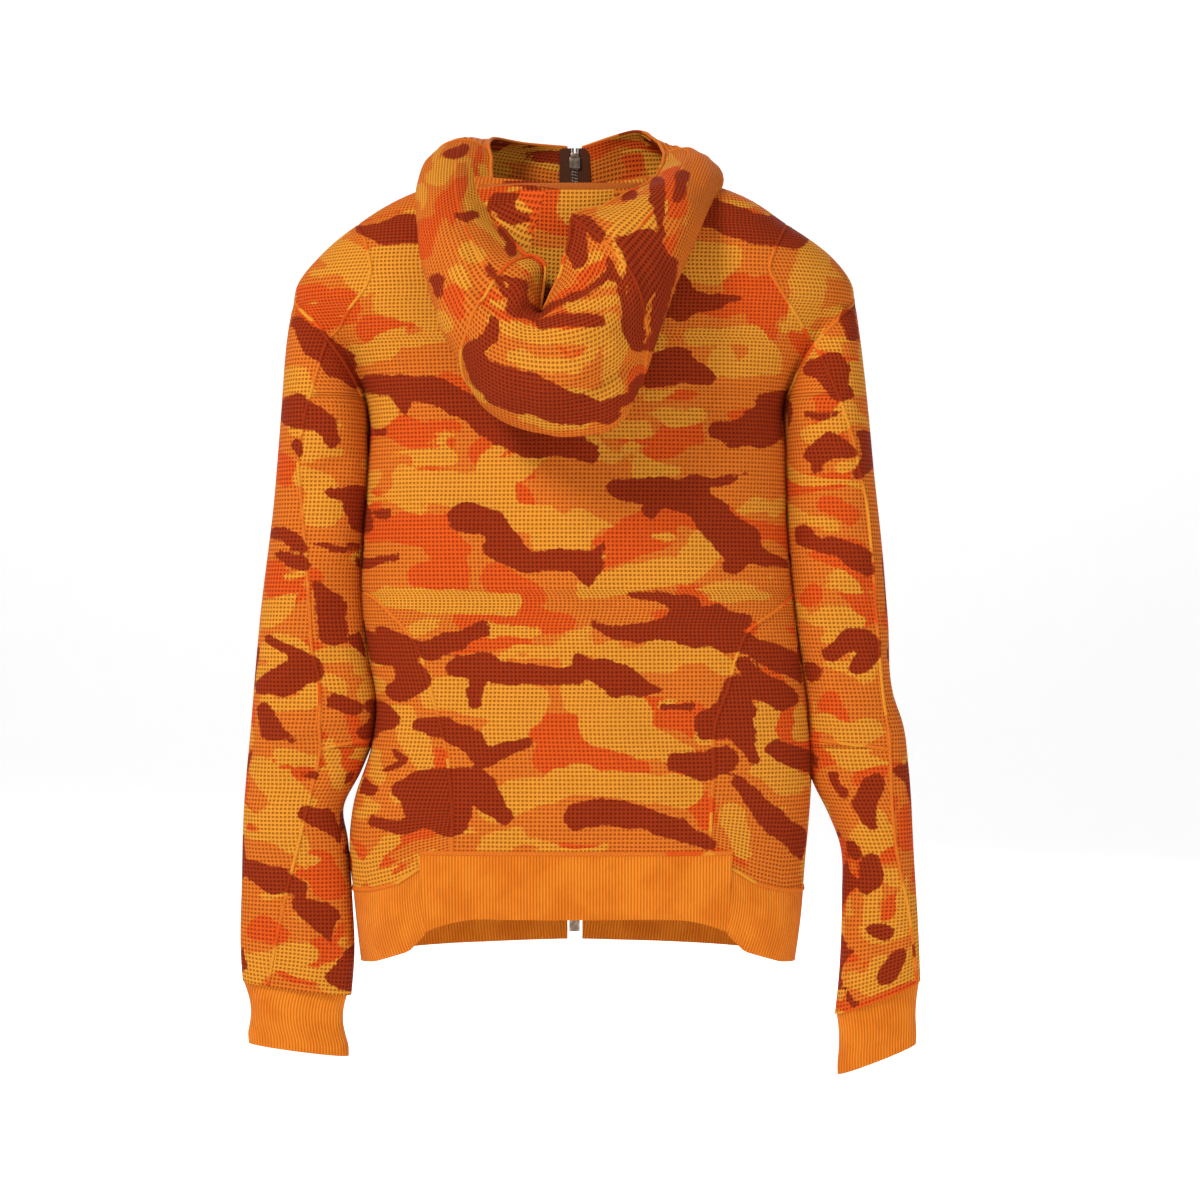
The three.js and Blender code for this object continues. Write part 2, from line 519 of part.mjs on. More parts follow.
// The pin on the right edge stands in the retainer box on the left edge.
const pinX = [toothX + 0.4, toothX + TOOTH.reach];
piece("zip_pin", box(...pinX, tapeY - 0.8, tapeY + 0.8, zipBottomZ + 1, zipBottomZ + PIN_LENGTH), COLOURS.metal, 0.4, 1);
piece("zip_retainer_box", box(-tapeX - 2, tapeX + 1.5, tapeY - 2.2, tapeY + 2.2, zipBottomZ, boxTopZ)
  .subtract(box(pinX[0] - CLEAR, pinX[1] + CLEAR, tapeY - 0.8 - CLEAR, tapeY + 0.8 + CLEAR,
    zipBottomZ + 1 - CLEAR, FAR)), COLOURS.metal, 0.4, 1);

const SLIDER_Z = ZIP_TOP_Z - 4 - CLEAR - SLIDER.tall / 2 - 0.5; // middle of the slider, zip closed
const plateIn = TOOTH.deep / 2 + CLEAR; // plates clear the teeth
const plateOut = plateIn + SLIDER.plate;
const halfPlate = SLIDER.width / 2;
const halfTall = SLIDER.tall / 2;
const flangeIn = TAPE_THICK / 2 + CLEAR; // flanges clear the tape
const BRIDGE = { half: 1.2, reach: 4.4, half_tall: 3.7, bar: 0.9 };
const bridgeY = tapeY + plateOut;
const z0 = SLIDER_Z;
let slider = box(-SLIDER.post / 2, SLIDER.post / 2, tapeY - plateIn, tapeY + plateIn, z0 - halfTall + 2, z0 + halfTall - 2);
for (const face of [1, -1]) {
  const ys = (low, high) => [Math.min(face * low, face * high) + tapeY, Math.max(face * low, face * high) + tapeY];
  slider = slider.add(box(-halfPlate, halfPlate, ...ys(plateIn, plateOut), z0 - halfTall, z0 + halfTall));
  for (const side of [1, -1]) {
    const xs = [side * (halfPlate - 1), side * halfPlate].sort((a, b) => a - b);
    slider = slider.add(box(...xs, ...ys(flangeIn, plateOut), z0 - halfTall, z0 + halfTall));
  }
}
const arch = box(-BRIDGE.half, BRIDGE.half, bridgeY - 0.5, bridgeY + BRIDGE.reach, z0 - BRIDGE.half_tall, z0 + BRIDGE.half_tall)
  .subtract(box(-BRIDGE.half - 1, BRIDGE.half + 1, bridgeY, bridgeY + BRIDGE.reach - BRIDGE.bar,
    z0 - BRIDGE.half_tall + BRIDGE.bar, z0 + BRIDGE.half_tall - BRIDGE.bar));
piece("zip_slider", slider.add(arch), COLOURS.metal, 0.35, 1);

// The pull hangs on a round bar through the slider's bridge.
const barY = bridgeY + 1.5;
const ARM = { from: BRIDGE.half + CLEAR, to: PULL_WIDTH / 2 };
const TAB_TOP = 6.2; // below the bar
const bar = solid(new THREE.CylinderGeometry(0.8, 0.8, PULL_WIDTH, 12).rotateZ(Math.PI / 2).translate(0, barY, z0));
let pull = bar.add(box(-PULL_WIDTH / 2, PULL_WIDTH / 2, barY - PULL_THICK / 2, barY + PULL_THICK / 2,
  z0 - PULL_LENGTH, z0 - TAB_TOP));
for (const side of [1, -1]) {
  const xs = [side * ARM.from, side * ARM.to].sort((a, b) => a - b);
  pull = pull.add(box(...xs, barY - PULL_THICK / 2, barY + PULL_THICK / 2, z0 - TAB_TOP - 1, z0));
}
piece("zip_pull", pull, COLOURS.metal, 0.35, 1);

export default jacket;
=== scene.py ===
"""A waffle-knit hooded jacket in blaze orange camouflage, hanging by its shoulders, seen from the back.

Lengths in this file are millimetres, turned into metres where a mesh is made. +X is the wearer's right,
+Y the front with the zip, +Z up, and the origin is the middle of the neck.
"""

import math

import bmesh
import bpy
import numpy as np
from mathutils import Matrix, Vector


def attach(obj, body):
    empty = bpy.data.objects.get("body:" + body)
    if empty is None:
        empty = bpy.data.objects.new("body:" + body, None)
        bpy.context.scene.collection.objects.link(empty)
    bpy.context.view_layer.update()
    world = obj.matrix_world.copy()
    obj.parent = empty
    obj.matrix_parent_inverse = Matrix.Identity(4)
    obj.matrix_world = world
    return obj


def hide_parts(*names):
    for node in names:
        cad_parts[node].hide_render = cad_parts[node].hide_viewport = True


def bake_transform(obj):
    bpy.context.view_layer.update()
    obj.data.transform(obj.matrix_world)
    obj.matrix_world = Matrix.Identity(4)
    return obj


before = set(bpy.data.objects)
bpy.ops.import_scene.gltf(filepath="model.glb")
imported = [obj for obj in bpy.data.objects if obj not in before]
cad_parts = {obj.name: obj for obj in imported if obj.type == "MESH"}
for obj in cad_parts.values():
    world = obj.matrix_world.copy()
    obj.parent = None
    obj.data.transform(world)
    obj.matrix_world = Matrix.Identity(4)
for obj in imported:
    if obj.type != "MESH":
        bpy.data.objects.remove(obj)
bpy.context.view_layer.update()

# ---- Camera, floor and light ----------------------------------------------------------------
# The jacket hangs in front of a white sweep. The camera looks at the middle of its back, level with
# the waist, through a portrait lens; two soft boxes and a white room light it.

MM = 0.001
EYE = Vector((23, -2200, -352))
LENS = 75
FLOOR_Z = -930

scene = bpy.context.scene
camera = bpy.data.objects.new("camera", bpy.data.cameras.new("camera"))
camera.data.lens = LENS
camera.data.sensor_width = 36
camera.data.clip_end = 100
camera.location = EYE * MM
camera.rotation_euler = (math.radians(90), 0, 0)
scene.collection.objects.link(camera)
scene.camera = camera
scene.view_settings.view_transform = "Standard"

room = bpy.data.worlds.new("room")
scene.world = room
room.use_nodes = True
room_light = room.node_tree.nodes["Background"]
room_light.inputs["Color"].default_value = (1, 1, 1, 1)
room_light.inputs["Strength"].default_value = 0.28
backdrop = room.node_tree.nodes.new("ShaderNodeBackground")
backdrop.inputs["Color"].default_value = (0.93, 0.93, 0.93, 1)
rays = room.node_tree.nodes.new("ShaderNodeLightPath")
either = room.node_tree.nodes.new("ShaderNodeMixShader")
room.node_tree.links.new(rays.outputs["Is Camera Ray"], either.inputs[0])
room.node_tree.links.new(room_light.outputs[0], either.inputs[1])
room.node_tree.links.new(backdrop.outputs[0], either.inputs[2])
room.node_tree.links.new(either.outputs[0], room.node_tree.nodes["World Output"].inputs["Surface"])


def soft_box(name, place, aim, size, watts):
    light = bpy.data.lights.new(name, "AREA")
    light.shape = "DISK"
    light.size = size
    light.energy = watts
    lamp = bpy.data.objects.new(name, light)
    lamp.location = place
    lamp.rotation_euler = (Vector(aim) - Vector(place)).to_track_quat("-Z", "Y").to_euler()
    scene.collection.objects.link(lamp)


soft_box("key_light", (-1.6, -1.9, 1.8), (0, 0, -0.3), 0.9, 92)
soft_box("fill_light", (1.9, -2.0, 0.0), (0, 0, -0.4), 1.6, 19)
soft_box("front_light", (0.6, 2.4, 1.0), (0, 0, -0.4), 1.6, 40)


def sweep_mesh():
    """White paper that runs under the jacket, bends up behind it and stands as a wall, in metres."""
    half_width, flat_end, bend, wall_top = 7, 3.2, 1.6, 6
    profile = [(-half_width, 0), (flat_end, 0)]
    profile += [(flat_end + bend * math.sin(a), bend - bend * math.cos(a))
                for a in np.linspace(0.1, math.pi / 2, 14)]
    profile += [(flat_end + bend, wall_top)]
    points = [(x, y, FLOOR_Z * MM + z) for y, z in profile for x in (-half_width, half_width)]
    faces = [(2 * i, 2 * i + 1, 2 * i + 3, 2 * i + 2) for i in range(len(profile) - 1)]
    mesh = bpy.data.meshes.new("studio_sweep")
    mesh.from_pydata(points, [], faces)
    mesh.shade_smooth()
    return mesh


sweep = bpy.data.objects.new("studio_sweep", sweep_mesh())
scene.collection.objects.link(sweep)
paper = bpy.data.materials.new("studio_paper")
paper.use_nodes = True
for socket, value in (("Base Color", (0.98, 0.98, 0.98, 1)), ("Roughness", 0.8),
                      ("Emission Color", (1, 1, 1, 1)), ("Emission Strength", 0.36)):
    paper.node_tree.nodes["Principled BSDF"].inputs[socket].default_value = value
sweep.data.materials.append(paper)

# ---- Back panel -----------------------------------------------------------------------------
# The back is one piece of waffle knit from the nape to the hem band, its grain running straight
# down, cut between the shoulder patches above and the curved side panels below, and sewn with
# covered seams.

CLOTH = 1.7

# Heights where the seams meet: the tops at the neck, the ends of the shoulder patches, the armpits, the tops
# of the side panels, and where the back and the fronts end. Rows of points lie this far apart.
NECK_TOP, SHOULDER, PATCH_END, ARMPIT = 18, -25.5, -127.5, -175
SIDE_TOP, BACK_END, FRONT_END = -344, -569, -604
ROW = 4.5


def smooth_line(points):
    """A smooth curve through (place, value) points, as a function of place."""
    p = np.array(sorted(points), float)
    slope = np.gradient(p[:, 1], p[:, 0]) if len(p) > 2 else np.full(2, np.diff(p[:, 1]) / np.diff(p[:, 0]))

    def value(q):
        q = np.clip(q, p[0, 0], p[-1, 0])
        i = np.clip(np.searchsorted(p[:, 0], q) - 1, 0, len(p) - 2)
        gap = p[i + 1, 0] - p[i, 0]
        t = (q - p[i, 0]) / gap
        return ((1 + 2 * t) * (1 - t) ** 2 * p[i, 1] + t * (1 - t) ** 2 * gap * slope[i]
                + t * t * (3 - 2 * t) * p[i + 1, 1] + t * t * (t - 1) * gap * slope[i + 1])

    return value


# Body edges as (height, x), from the neck down.
left_edge = smooth_line([(18, -100), (4, -140), (-26, -193), (-51, -223), (-88, -245), (-118, -222),
                         (-150, -195), (-174, -184), (-245, -182), (-300, -186), (-352, -187), (-400, -181),
                         (-440, -174), (-480, -178), (-532, -194), (-580, -197), (-606, -194), (-680, -186)])
right_edge = smooth_line([(18, 100), (4, 142), (-23, 187), (-50, 225), (-88, 246), (-118, 224), (-150, 198),
                          (-172, 187), (-225, 187), (-300, 189), (-352, 194), (-400, 200), (-440, 205),
                          (-508, 209), (-541, 207), (-586, 203), (-615, 201), (-680, 193)])
back_depth = smooth_line([(18, 60), (4, 70), (-26, 78), (-88, 82), (-172, 80), (-352, 77), (-576, 66),
                          (-690, 58)])
FRONT_DEPTH = 83

# Sleeve edges as (height, x), left and right, and how deep each sleeve is.
sleeve_edges = {
    "left": (smooth_line([(-88, -246), (-120, -251), (-194, -257), (-264, -263), (-363, -275), (-453, -283),
                          (-536, -290), (-600, -292), (-660, -293), (-690, -291)]),
             smooth_line([(-100, -205), (-140, -190), (-174, -182), (-190, -180), (-215, -179), (-264, -180),
                          (-325, -184), (-378, -181), (-410, -177), (-446, -172), (-470, -175), (-502, -187),
                          (-536, -203), (-562, -199), (-614, -195), (-649, -193), (-690, -196)])),
    "right": (smooth_line([(-88, 247), (-120, 251), (-154, 255), (-245, 264), (-299, 270), (-370, 276),
                           (-436, 281), (-460, 289), (-497, 294), (-578, 299), (-640, 303), (-690, 305)]),
              smooth_line([(-100, 208), (-140, 195), (-172, 186), (-190, 184), (-215, 184), (-300, 186),
                           (-352, 191), (-400, 197), (-440, 203), (-509, 209), (-540, 224), (-566, 234),
                           (-611, 236), (-653, 234), (-690, 229)])),
}
sleeve_depth = smooth_line([(-88, 26), (-120, 42), (-172, 52), (-264, 46), (-352, 42), (-436, 38), (-478, 36),
                            (-536, 31), (-614, 24), (-690, 19)])


def bulge(x, low, high, depth):
    """Depth of a rounded section that spans low to high, zero at and beyond its ends."""
    t = np.clip(np.abs((2 * x - low - high) / (high - low)), 0, 1)
    return depth * (1 - t ** 2.35) ** (1 / 2.35)


def drift(x, z, seed):
    """Smooth noise from -1 to 1 on a lattice of unit cells."""
    ix, iz = np.floor(x), np.floor(z)
    u, v = x - ix, z - iz
    u, v = u * u * (3 - 2 * u), v * v * (3 - 2 * v)

    def corner(dx, dz):
        n = np.sin((ix + dx) * 127.1 + (iz + dz) * 311.7 + seed * 74.7) * 43758.5453
        return 2 * (n - np.floor(n)) - 1

    return (corner(0, 0) * (1 - u) + corner(1, 0) * u) * (1 - v) + (corner(0, 1) * (1 - u) + corner(1, 1)
                                                                    * u) * v


def crease(x, z, start, end, width, height):
    """A soft fold along a line from start to end: its height at (x, z)."""
    (ax, az), (bx, bz) = start, end
    dx, dz = bx - ax, bz - az
    t = np.clip(((x - ax) * dx + (z - az) * dz) / (dx * dx + dz * dz), 0, 1)
    away = np.hypot(x - ax - t * dx, z - az - t * dz)
    return height * np.exp(-(away / width) ** 2) * np.sin(np.pi * np.clip(t * 0.9 + 0.05, 0, 1))


def body_relief(x, z, back):
    ease = 2.2 * drift(x / 85, z / 190, 3) + 1.2 * drift(x / 38, z / 120, 5)
    if not back:
        return ease * np.clip(np.abs(x) / 60, 0, 1)
    folds = (crease(x, z, (-165, -215), (-70, -330), 16, 3.5) + crease(x, z, (168, -210), (80, -330), 16, 3)
             + crease(x, z, (-60, -470), (-95, -560), 14, 2.5) + crease(x, z, (90, -480), (60, -570), 16, 2.5)
             - crease(x, z, (-176, -330), (-120, -520), 12, 2.5)
             + crease(x, z, (0, -260), (20, -520), 40, 2.5))
    return ease + folds


def body_point(x, z, back, arm_low=-174):
    """The body's skin at (x, z), with the shoulder of each sleeve smoothed into it."""
    depth = bulge(x, left_edge(z), right_edge(z), back_depth(z) if back else FRONT_DEPTH)
    arm = np.zeros_like(depth)
    for outer, inner in sleeve_edges.values():
        low, high = np.minimum(outer(z), inner(z)), np.maximum(outer(z), inner(z))
        cap = np.clip((-84 - z) / 16, 0, 1)
        arm = np.maximum(arm, np.where(z > arm_low, bulge(x, low, high, sleeve_depth(z) * cap), 0))
    blend = np.clip(0.5 + (depth - arm) / 24, 0, 1)
    full = depth * blend + arm * (1 - blend) + 12 * blend * (1 - blend) * (np.minimum(depth, arm) > 0)
    relief = body_relief(x, z, back) * np.clip(full / 40, 0, 1)
    return np.stack([x, (-1 if back else 1) * (full + relief), z], -1)


def span(low, high, count, ends=(True, True)):
    """Places from low to high, one row for each pair, gathered towards the ends that are asked for."""
    t = np.linspace(0, 1, count)
    if all(ends):
        t = (1 - np.cos(np.pi * t)) / 2
    elif ends[0]:
        t = 1 - np.cos(np.pi / 2 * t)
    elif ends[1]:
        t = np.sin(np.pi / 2 * t)
    return low[:, None] + (high - low)[:, None] * t


def lengths(grid, axis):
    """Distance along a grid of points, from its first row or column."""
    steps = np.linalg.norm(np.diff(grid, axis=axis), axis=-1)
    zero = np.zeros_like(np.take(steps, [0], axis))
    return np.concatenate([zero, np.cumsum(steps, axis)], axis)


def grain_of(grid, top=0.0):
    """Where each point lies on the flat cloth: across from the middle column, and up from the top row."""
    across = lengths(grid, 1)
    middle = across[:, grid.shape[1] // 2]
    down = lengths(grid, 0).mean(1)
    return np.stack([across - middle[:, None], np.broadcast_to(top - down[:, None], across.shape)], -1)


def unit(vectors):
    """Each vector at a length of 1."""
    return vectors / np.maximum(np.linalg.norm(vectors, axis=-1, keepdims=True), 1e-9)


def facing_of(grid):
    """The way out of a grid of points, at each point."""
    return unit(np.cross(np.gradient(grid, axis=1), np.gradient(grid, axis=0)))


def cloth_mesh(name, grid, fields, centre=None, turn=1, thick=CLOTH, top=0.0):
    """A closed piece of cloth on a grid of points: its face, its reverse and its cut edges.

    Its face looks away from centre, or the way turn says, and fields gives the attributes of its points.
    """
    rows, cols = grid.shape[:2]
    normal = facing_of(grid)
    if centre is not None:
        turn = np.sign(np.sum(normal * (grid - np.array(centre, float))))
    points = np.concatenate([grid.reshape(-1, 3), (grid - turn * thick * normal).reshape(-1, 3)])
    index = np.arange(rows * cols).reshape(rows, cols)
    face = np.stack([index[:-1, :-1], index[:-1, 1:], index[1:, 1:], index[1:, :-1]], -1).reshape(-1, 4)
    rim = np.concatenate([index[0, :], index[1:, -1], index[-1, -2::-1], index[-2:0:-1, 0]])
    wall = np.stack([rim, np.roll(rim, -1), np.roll(rim, -1) + rows * cols, rim + rows * cols], -1)
    faces = np.concatenate([face, face[:, ::-1] + rows * cols, wall[:, ::-1]])
    mesh = bpy.data.meshes.new(name)
    mesh.from_pydata((points * MM).tolist(), [], faces.tolist())
    grain = grain_of(grid, top)
    flat = np.tile(grain.reshape(-1, 2), (2, 1)) * MM
    mesh.uv_layers.new(name="grain").data.foreach_set("uv", flat[faces.ravel()].ravel().astype(np.float32))
    for key, value in fields(grain, grid).items():
        values = np.tile(np.broadcast_to(value, (rows, cols)).ravel(), 2).astype(np.float32)
        mesh.attributes.new(key, "FLOAT", "POINT").data.foreach_set("value", values)
    build = bmesh.new()
    build.from_mesh(mesh)
    touching = 3e-5
    bmesh.ops.remove_doubles(build, verts=build.verts, dist=touching)
    bmesh.ops.dissolve_degenerate(build, edges=build.edges, dist=touching)
    bmesh.ops.recalc_face_normals(build, faces=build.faces)
    build.to_mesh(mesh)
    build.free()
    mesh.shade_smooth()
    mesh.set_sharp_from_angle(angle=math.radians(65))
    made = bpy.data.objects.new(name, mesh)
    scene.collection.objects.link(made)
    return made


# The print: rust, gold and red-orange patches on mid orange. Each is a chain of (x, z, radius) blots, laid
# where it shows on the hanging jacket from straight behind. The rest of the cloth is printed at random.

RUST = """
-98 -278 12, -71 -284 10, -61 -305 14, -43 -319 9, 5 -316 8, 11 -321 12, 11 -337 4 | 11 -321 8, 24 -303 3
-83 -378 7, -126 -396 9, -146 -392 7, -169 -380 5 | -104 -413 8, -81 -409 12, -67 -417 9, 0 -419 8
-81 -415 8, -88 -441 5 | -136 -464 6, -114 -464 8, -87 -478 10, -81 -490 8, -41 -478 4
76 -256 11, 66 -276 4 | -130 -517 16, -87 -517 15, -73 -531 10, -59 -543 5
37 -254 8, 76 -256 12, 105 -262 14, 129 -286 14, 145 -301 16 | 145 -301 16, 164 -313 6, 184 -320 4
145 -301 14, 141 -319 8 | 50 -347 3, 72 -348 4, 98 -360 11, 98 -376 16 | 98 -376 16, 125 -370 13, 150 -372 7
98 -376 12, 58 -382 8, 39 -382 6, 15 -372 3 | 5 -407 7, 23 -415 10, 39 -423 14 | 39 -423 14, 72 -431 4
80 -446 3, 101 -446 3 | 92 -496 8, 115 -500 11, 132 -492 10 | 3 -543 10, 27 -539 11, 66 -545 10
66 -545 10, 90 -553 9, 118 -566 5 | -186 -26 5, -165 -28 11, -140 -26 13, -120 -24 12
-178 -162 8, -150 -164 10
-150 -166 11, -120 -168 12, -95 -180 11, -75 -195 14, -40 -212 14, 0 -215 11, 14 -223 8
-150 -172 9, -150 -184 4 | -180 -205 3, -168 -203 4 | -180 -276 3, -164 -276 4 | -185 -318 5, -156 -315 3
105 -8 12, 130 -15 13, 160 -26 13 | 160 -26 13, 195 -31 11 | 88 -75 10, 95 -92 13, 115 -90 9, 146 -86 3
70 -150 14, 90 -145 16, 108 -154 9, 122 -158 3 | 125 -202 6, 145 -205 12, 165 -200 17, 180 -186 10
168 -178 7, 184 -172 4 | 105 -247 5, 125 -248 4, 152 -241 2
105 -386 8, 140 -388 8, 170 -398 10, 204 -415 10 | 150 -408 6, 165 -428 11, 186 -438 10
142 -428 9, 145 -450 13 | 145 -450 13, 122 -462 14 | 145 -455 10, 150 -475 8, 158 -494 4
178 -482 8, 206 -495 8 | 146 -512 6, 168 -538 9 | 168 -538 9, 190 -560 11, 204 -574 7
-186 -388 9, -172 -396 11, -150 -404 8, -140 -424 12, -155 -432 8 | -176 -446 7, -165 -456 10, -182 -468 7
-164 -500 3, -150 -494 4, -156 -484 3 | -192 -512 9, -178 -520 5 | -150 -520 8, -135 -532 14, -110 -542 18
-176 -546 4, -150 -552 6, -130 -546 8 | -243 -110 6, -228 -125 11, -205 -145 11 | -205 -145 11, -194 -158 5
-246 -185 13, -222 -195 10, -211 -213 5 | -243 -214 4, -240 -226 3 | -214 -256 4, -194 -260 8
-194 -260 8, -188 -284 9 | -226 -303 2, -205 -307 3, -188 -305 3 | -262 -292 5, -248 -298 7, -238 -306 5
-262 -312 3, -238 -320 5 | -226 -340 5, -214 -358 11, -210 -382 11
-268 -388 4, -250 -396 5, -234 -414 11, -260 -424 13 | -260 -424 13, -277 -430 6
-272 -450 6, -264 -470 8, -250 -476 3 | -210 -440 7, -192 -446 7 | -240 -505 3, -228 -506 4
-236 -540 5, -220 -546 9, -204 -562 5 | -287 -588 7, -262 -599 11, -240 -606 5
-242 -618 5, -222 -630 12, -205 -645 11 | 241 -104 5, 246 -118 6 | 212 -148 8, 228 -150 13, 236 -170 8
206 -188 3, 216 -192 4, 230 -189 3 | 212 -222 9 | 212 -222 9, 228 -216 11, 240 -222 7
212 -222 8, 214 -236 6 | 255 -205 4, 259 -224 7, 252 -242 5
202 -295 7, 218 -304 6, 236 -305 7, 250 -315 12, 258 -327 5
224 -400 5, 240 -390 9, 254 -386 9, 260 -398 10, 250 -410 7 | 228 -508 4, 236 -522 4
262 -514 9, 256 -534 10, 262 -550 5 | 242 -566 4, 249 -576 5 | 262 -586 9, 260 -600 9
262 -641 5, 276 -645 6 | 288 -668 9, 276 -682 7 | 234 -700 8, 246 -708 4 | 286 -500 6, 291 -506 4
"""
GOLD = """
-63 -278 12, -28 -280 10, -20 -301 12 | -161 -350 8, -57 -356 9 | -118 -435 12, -47 -443 17, -61 -472 14
-81 -378 5, -34 -380 4 | -146 -246 10, -73 -262 15 | 5 -508 10, -71 -537 9
11 -343 8, 66 -331 10, 98 -325 10 | 98 -325 10, 121 -301 12
0 -407 8, 7 -435 14, 47 -453 16, 27 -462 16, 98 -490 8 | 43 -403 6, 113 -398 7, 133 -409 7
-12 -510 9, 98 -521 12 | -170 -60 16, -145 -60 18, -130 -95 14, -160 -88 12 | -165 -131 9, -182 -136 7
-168 -184 9, -174 -194 6 | -112 -224 7, -135 -228 5 | 95 -50 13, 118 -55 16, 138 -50 8
104 -120 5, 160 -120 8 | 160 -120 8, 170 -142 11, 140 -150 6 | 84 -192 6, 110 -190 5 | 30 -200 9, 60 -204 6
60 -236 8, 90 -238 4 | -215 -42 9, -192 -56 13, -184 -76 8 | 212 -46 10, 206 -75 12, 200 -104 9
-238 -242 8, -224 -252 10, -222 -272 12 | -270 -366 9, -254 -356 7 | -246 -156 9, -236 -168 6
-272 -398 6, -256 -408 4 | -235 -444 5, -270 -442 4 | -276 -500 9, -256 -520 12, -240 -532 9
-266 -548 9, -244 -566 9 | -272 -614 4, -254 -608 3 | -238 -662 9, -276 -672 8 | -222 -420 4, -204 -430 5
-216 -480 4, -205 -514 6 | 218 -126 5, 232 -130 4 | 244 -150 7, 252 -162 8
240 -186 8, 225 -203 7, 205 -206 5 | 236 -236 4, 252 -230 4 | 212 -282 5, 228 -288 4
222 -366 8, 246 -372 7 | 246 -372 7, 226 -386 5 | 222 -460 8, 246 -472 9, 262 -466 8
250 -560 6, 264 -546 9 | 262 -562 7, 262 -630 5 | 296 -602 6, 290 -632 6 | 262 -692 7, 270 -672 7
240 -592 4, 240 -626 4 | -172 -426 6, -184 -434 5 | -152 -452 8, -140 -476 9, -130 -494 6
-178 -488 6, -172 -508 5 | -176 -534 4, -186 -540 4 | -160 -562 5, -190 -598 5
176 -440 8, 160 -470 12, 190 -512 10, 172 -500 9 | 140 -540 8, 150 -574 5 | 205 -440 5, 200 -470 6
"""
EMBER = """
-177 -288 10, -126 -292 12, -106 -309 12 | -130 -331 10, -110 -331 14
-67 -333 10, -41 -348 11, -91 -368 10 | -91 -368 10, -12 -372 8 | -106 -392 6, -47 -384 8
-49 -462 10, 5 -468 13, -20 -490 12 | 23 -311 12, 70 -290 15 | -12 -472 9, 7 -482 12, 54 -502 10
66 -449 10, 125 -462 12 | 98 -350 6, 129 -364 6, 155 -378 6 | -71 -246 9, -47 -264 9 | -14 -297 8, -8 -299 7
-176 -115 12, -160 -110 6, -144 -110 3 | -112 -158 7, -95 -165 6 | -125 -225 13, -115 -214 8
-75 -222 12, -60 -236 13, -45 -238 8 | -130 -200 5, -105 -198 5
145 -74 9, 156 -86 10, 166 -102 11, 170 -116 7 | 140 -190 4, 156 -188 4 | 45 -209 5, 66 -213 4
-226 -100 13, -204 -94 13 | -252 -240 9, -258 -230 6 | -266 -330 11, -250 -346 10 | -256 -490 7, -240 -500 9
-226 -585 11, -214 -602 12 | -276 -640 9, -264 -646 8 | -220 -662 13, -230 -682 8 | -195 -456 5, -188 -482 5
-290 -546 6, -286 -552 5 | 198 -118 7, 206 -132 6 | 224 -268 7, 242 -276 8
240 -334 9, 252 -352 8, 256 -368 6 | 210 -346 7, 206 -352 6 | 226 -442 8, 232 -456 8
296 -542 7, 294 -562 8 | 172 -408 5, 190 -452 5 | 206 -440 4, 212 -500 4 | -160 -395 5, -140 -398 5
112 -530 9, 118 -545 7 | -120 -490 6, -118 -500 5 | -190 -580 5, -150 -588 5
"""
HOOD_RUST = """
-106 -12 3, -95 -15 4, -86 -12 2 | -122 -68 4, -118 -84 4 | -70 -68 3, -58 -71 3
-48 -76 8, -50 -96 8, -38 -100 6
-70 -106 4, -74 -122 6, -90 -134 7, -84 -146 9, -66 -158 13, -45 -166 15, -20 -178 16, 10 -184 13, 30 -187 8
-86 -150 8, -68 -170 9, -45 -180 10 | -94 -136 4, -86 -146 3 | 14 -186 7, 34 -180 6, 50 -172 5, 60 -160 5
-28 -108 5, 0 -105 6, 23 -107 5 | -36 -104 3, -6 -88 3, 14 -78 3, 34 -62 3
4 -50 8, 0 -28 8, 8 -18 6, 22 -32 5 | 45 -36 7, 62 -42 15, 66 -62 15, 54 -72 8
62 -66 13, 54 -92 8, 52 -112 8, 57 -128 5 | 30 -54 3, 42 -78 3, 46 -100 3 | 84 -56 7, 80 -78 6, 74 -100 5
76 -110 6, 68 -128 5 | 44 1 3, 51 5 4 | 50 60 8, 62 68 5 | 74 14 6, 74 -2 5, 78 -30 3
-44 6 6, -30 -2 9, -10 -12 9, -2 -14 5 | -58 2 5, -62 -22 4, -54 -46 4 | -110 40 4, -96 44 5
-74 -60 3, -60 -84 3 | 96 20 5, 92 2 4 | 58 40 5, 66 30 4
"""
HOOD_GOLD = """
-96 -45 6, -84 -50 5 | -102 -64 7, -95 -76 4 | -88 5 5, -80 -12 7 | -118 -104 7, -112 -112 5
-86 -128 5, -80 -134 4 | -72 -107 4, -40 -118 6, -10 -122 6, 20 -120 6, 34 -104 5
-52 -138 5, -30 -146 6, 0 -146 5, 18 -134 4 | 0 -176 2, 22 -170 4, 38 -164 4 | -6 -94 3, 20 -92 5, 36 -88 4
25 -75 3, 38 -72 3 | 5 -55 4, 20 -49 4 | 28 -12 6, 48 -14 8, 62 -2 6 | 40 -26 5, 46 -60 4
46 -60 4, 49 -78 3 | 50 34 6, 62 45 7, 70 34 5 | 8 -178 3, 30 -170 6, 40 -172 4
-46 -192 3, -20 -199 3, 12 -197 3 | -120 20 7, -112 30 6 | -60 15 4, -50 4 4
"""
HOOD_EMBER = """
-130 -24 7, -132 -46 6 | -112 -4 8, -100 10 7 | -106 -85 7, -100 -100 4
-76 -85 6, -66 -96 6, -48 -108 6, -28 -113 4 | 20 -133 4, -6 -136 3 | 52 14 5, 56 26 4
58 -150 5, 50 -172 4 | 88 22 7, 90 -10 7 | -30 -40 12, -34 -58 8 | 8 -68 4, 28 -55 4
"""


def laid_patches(text):
    """Chains of blots from their text: points part by commas, chains by bars and line ends."""
    return [[tuple(map(float, point.split())) for point in chain.split(",")]
            for line in text.strip().splitlines() for chain in line.split("|")]


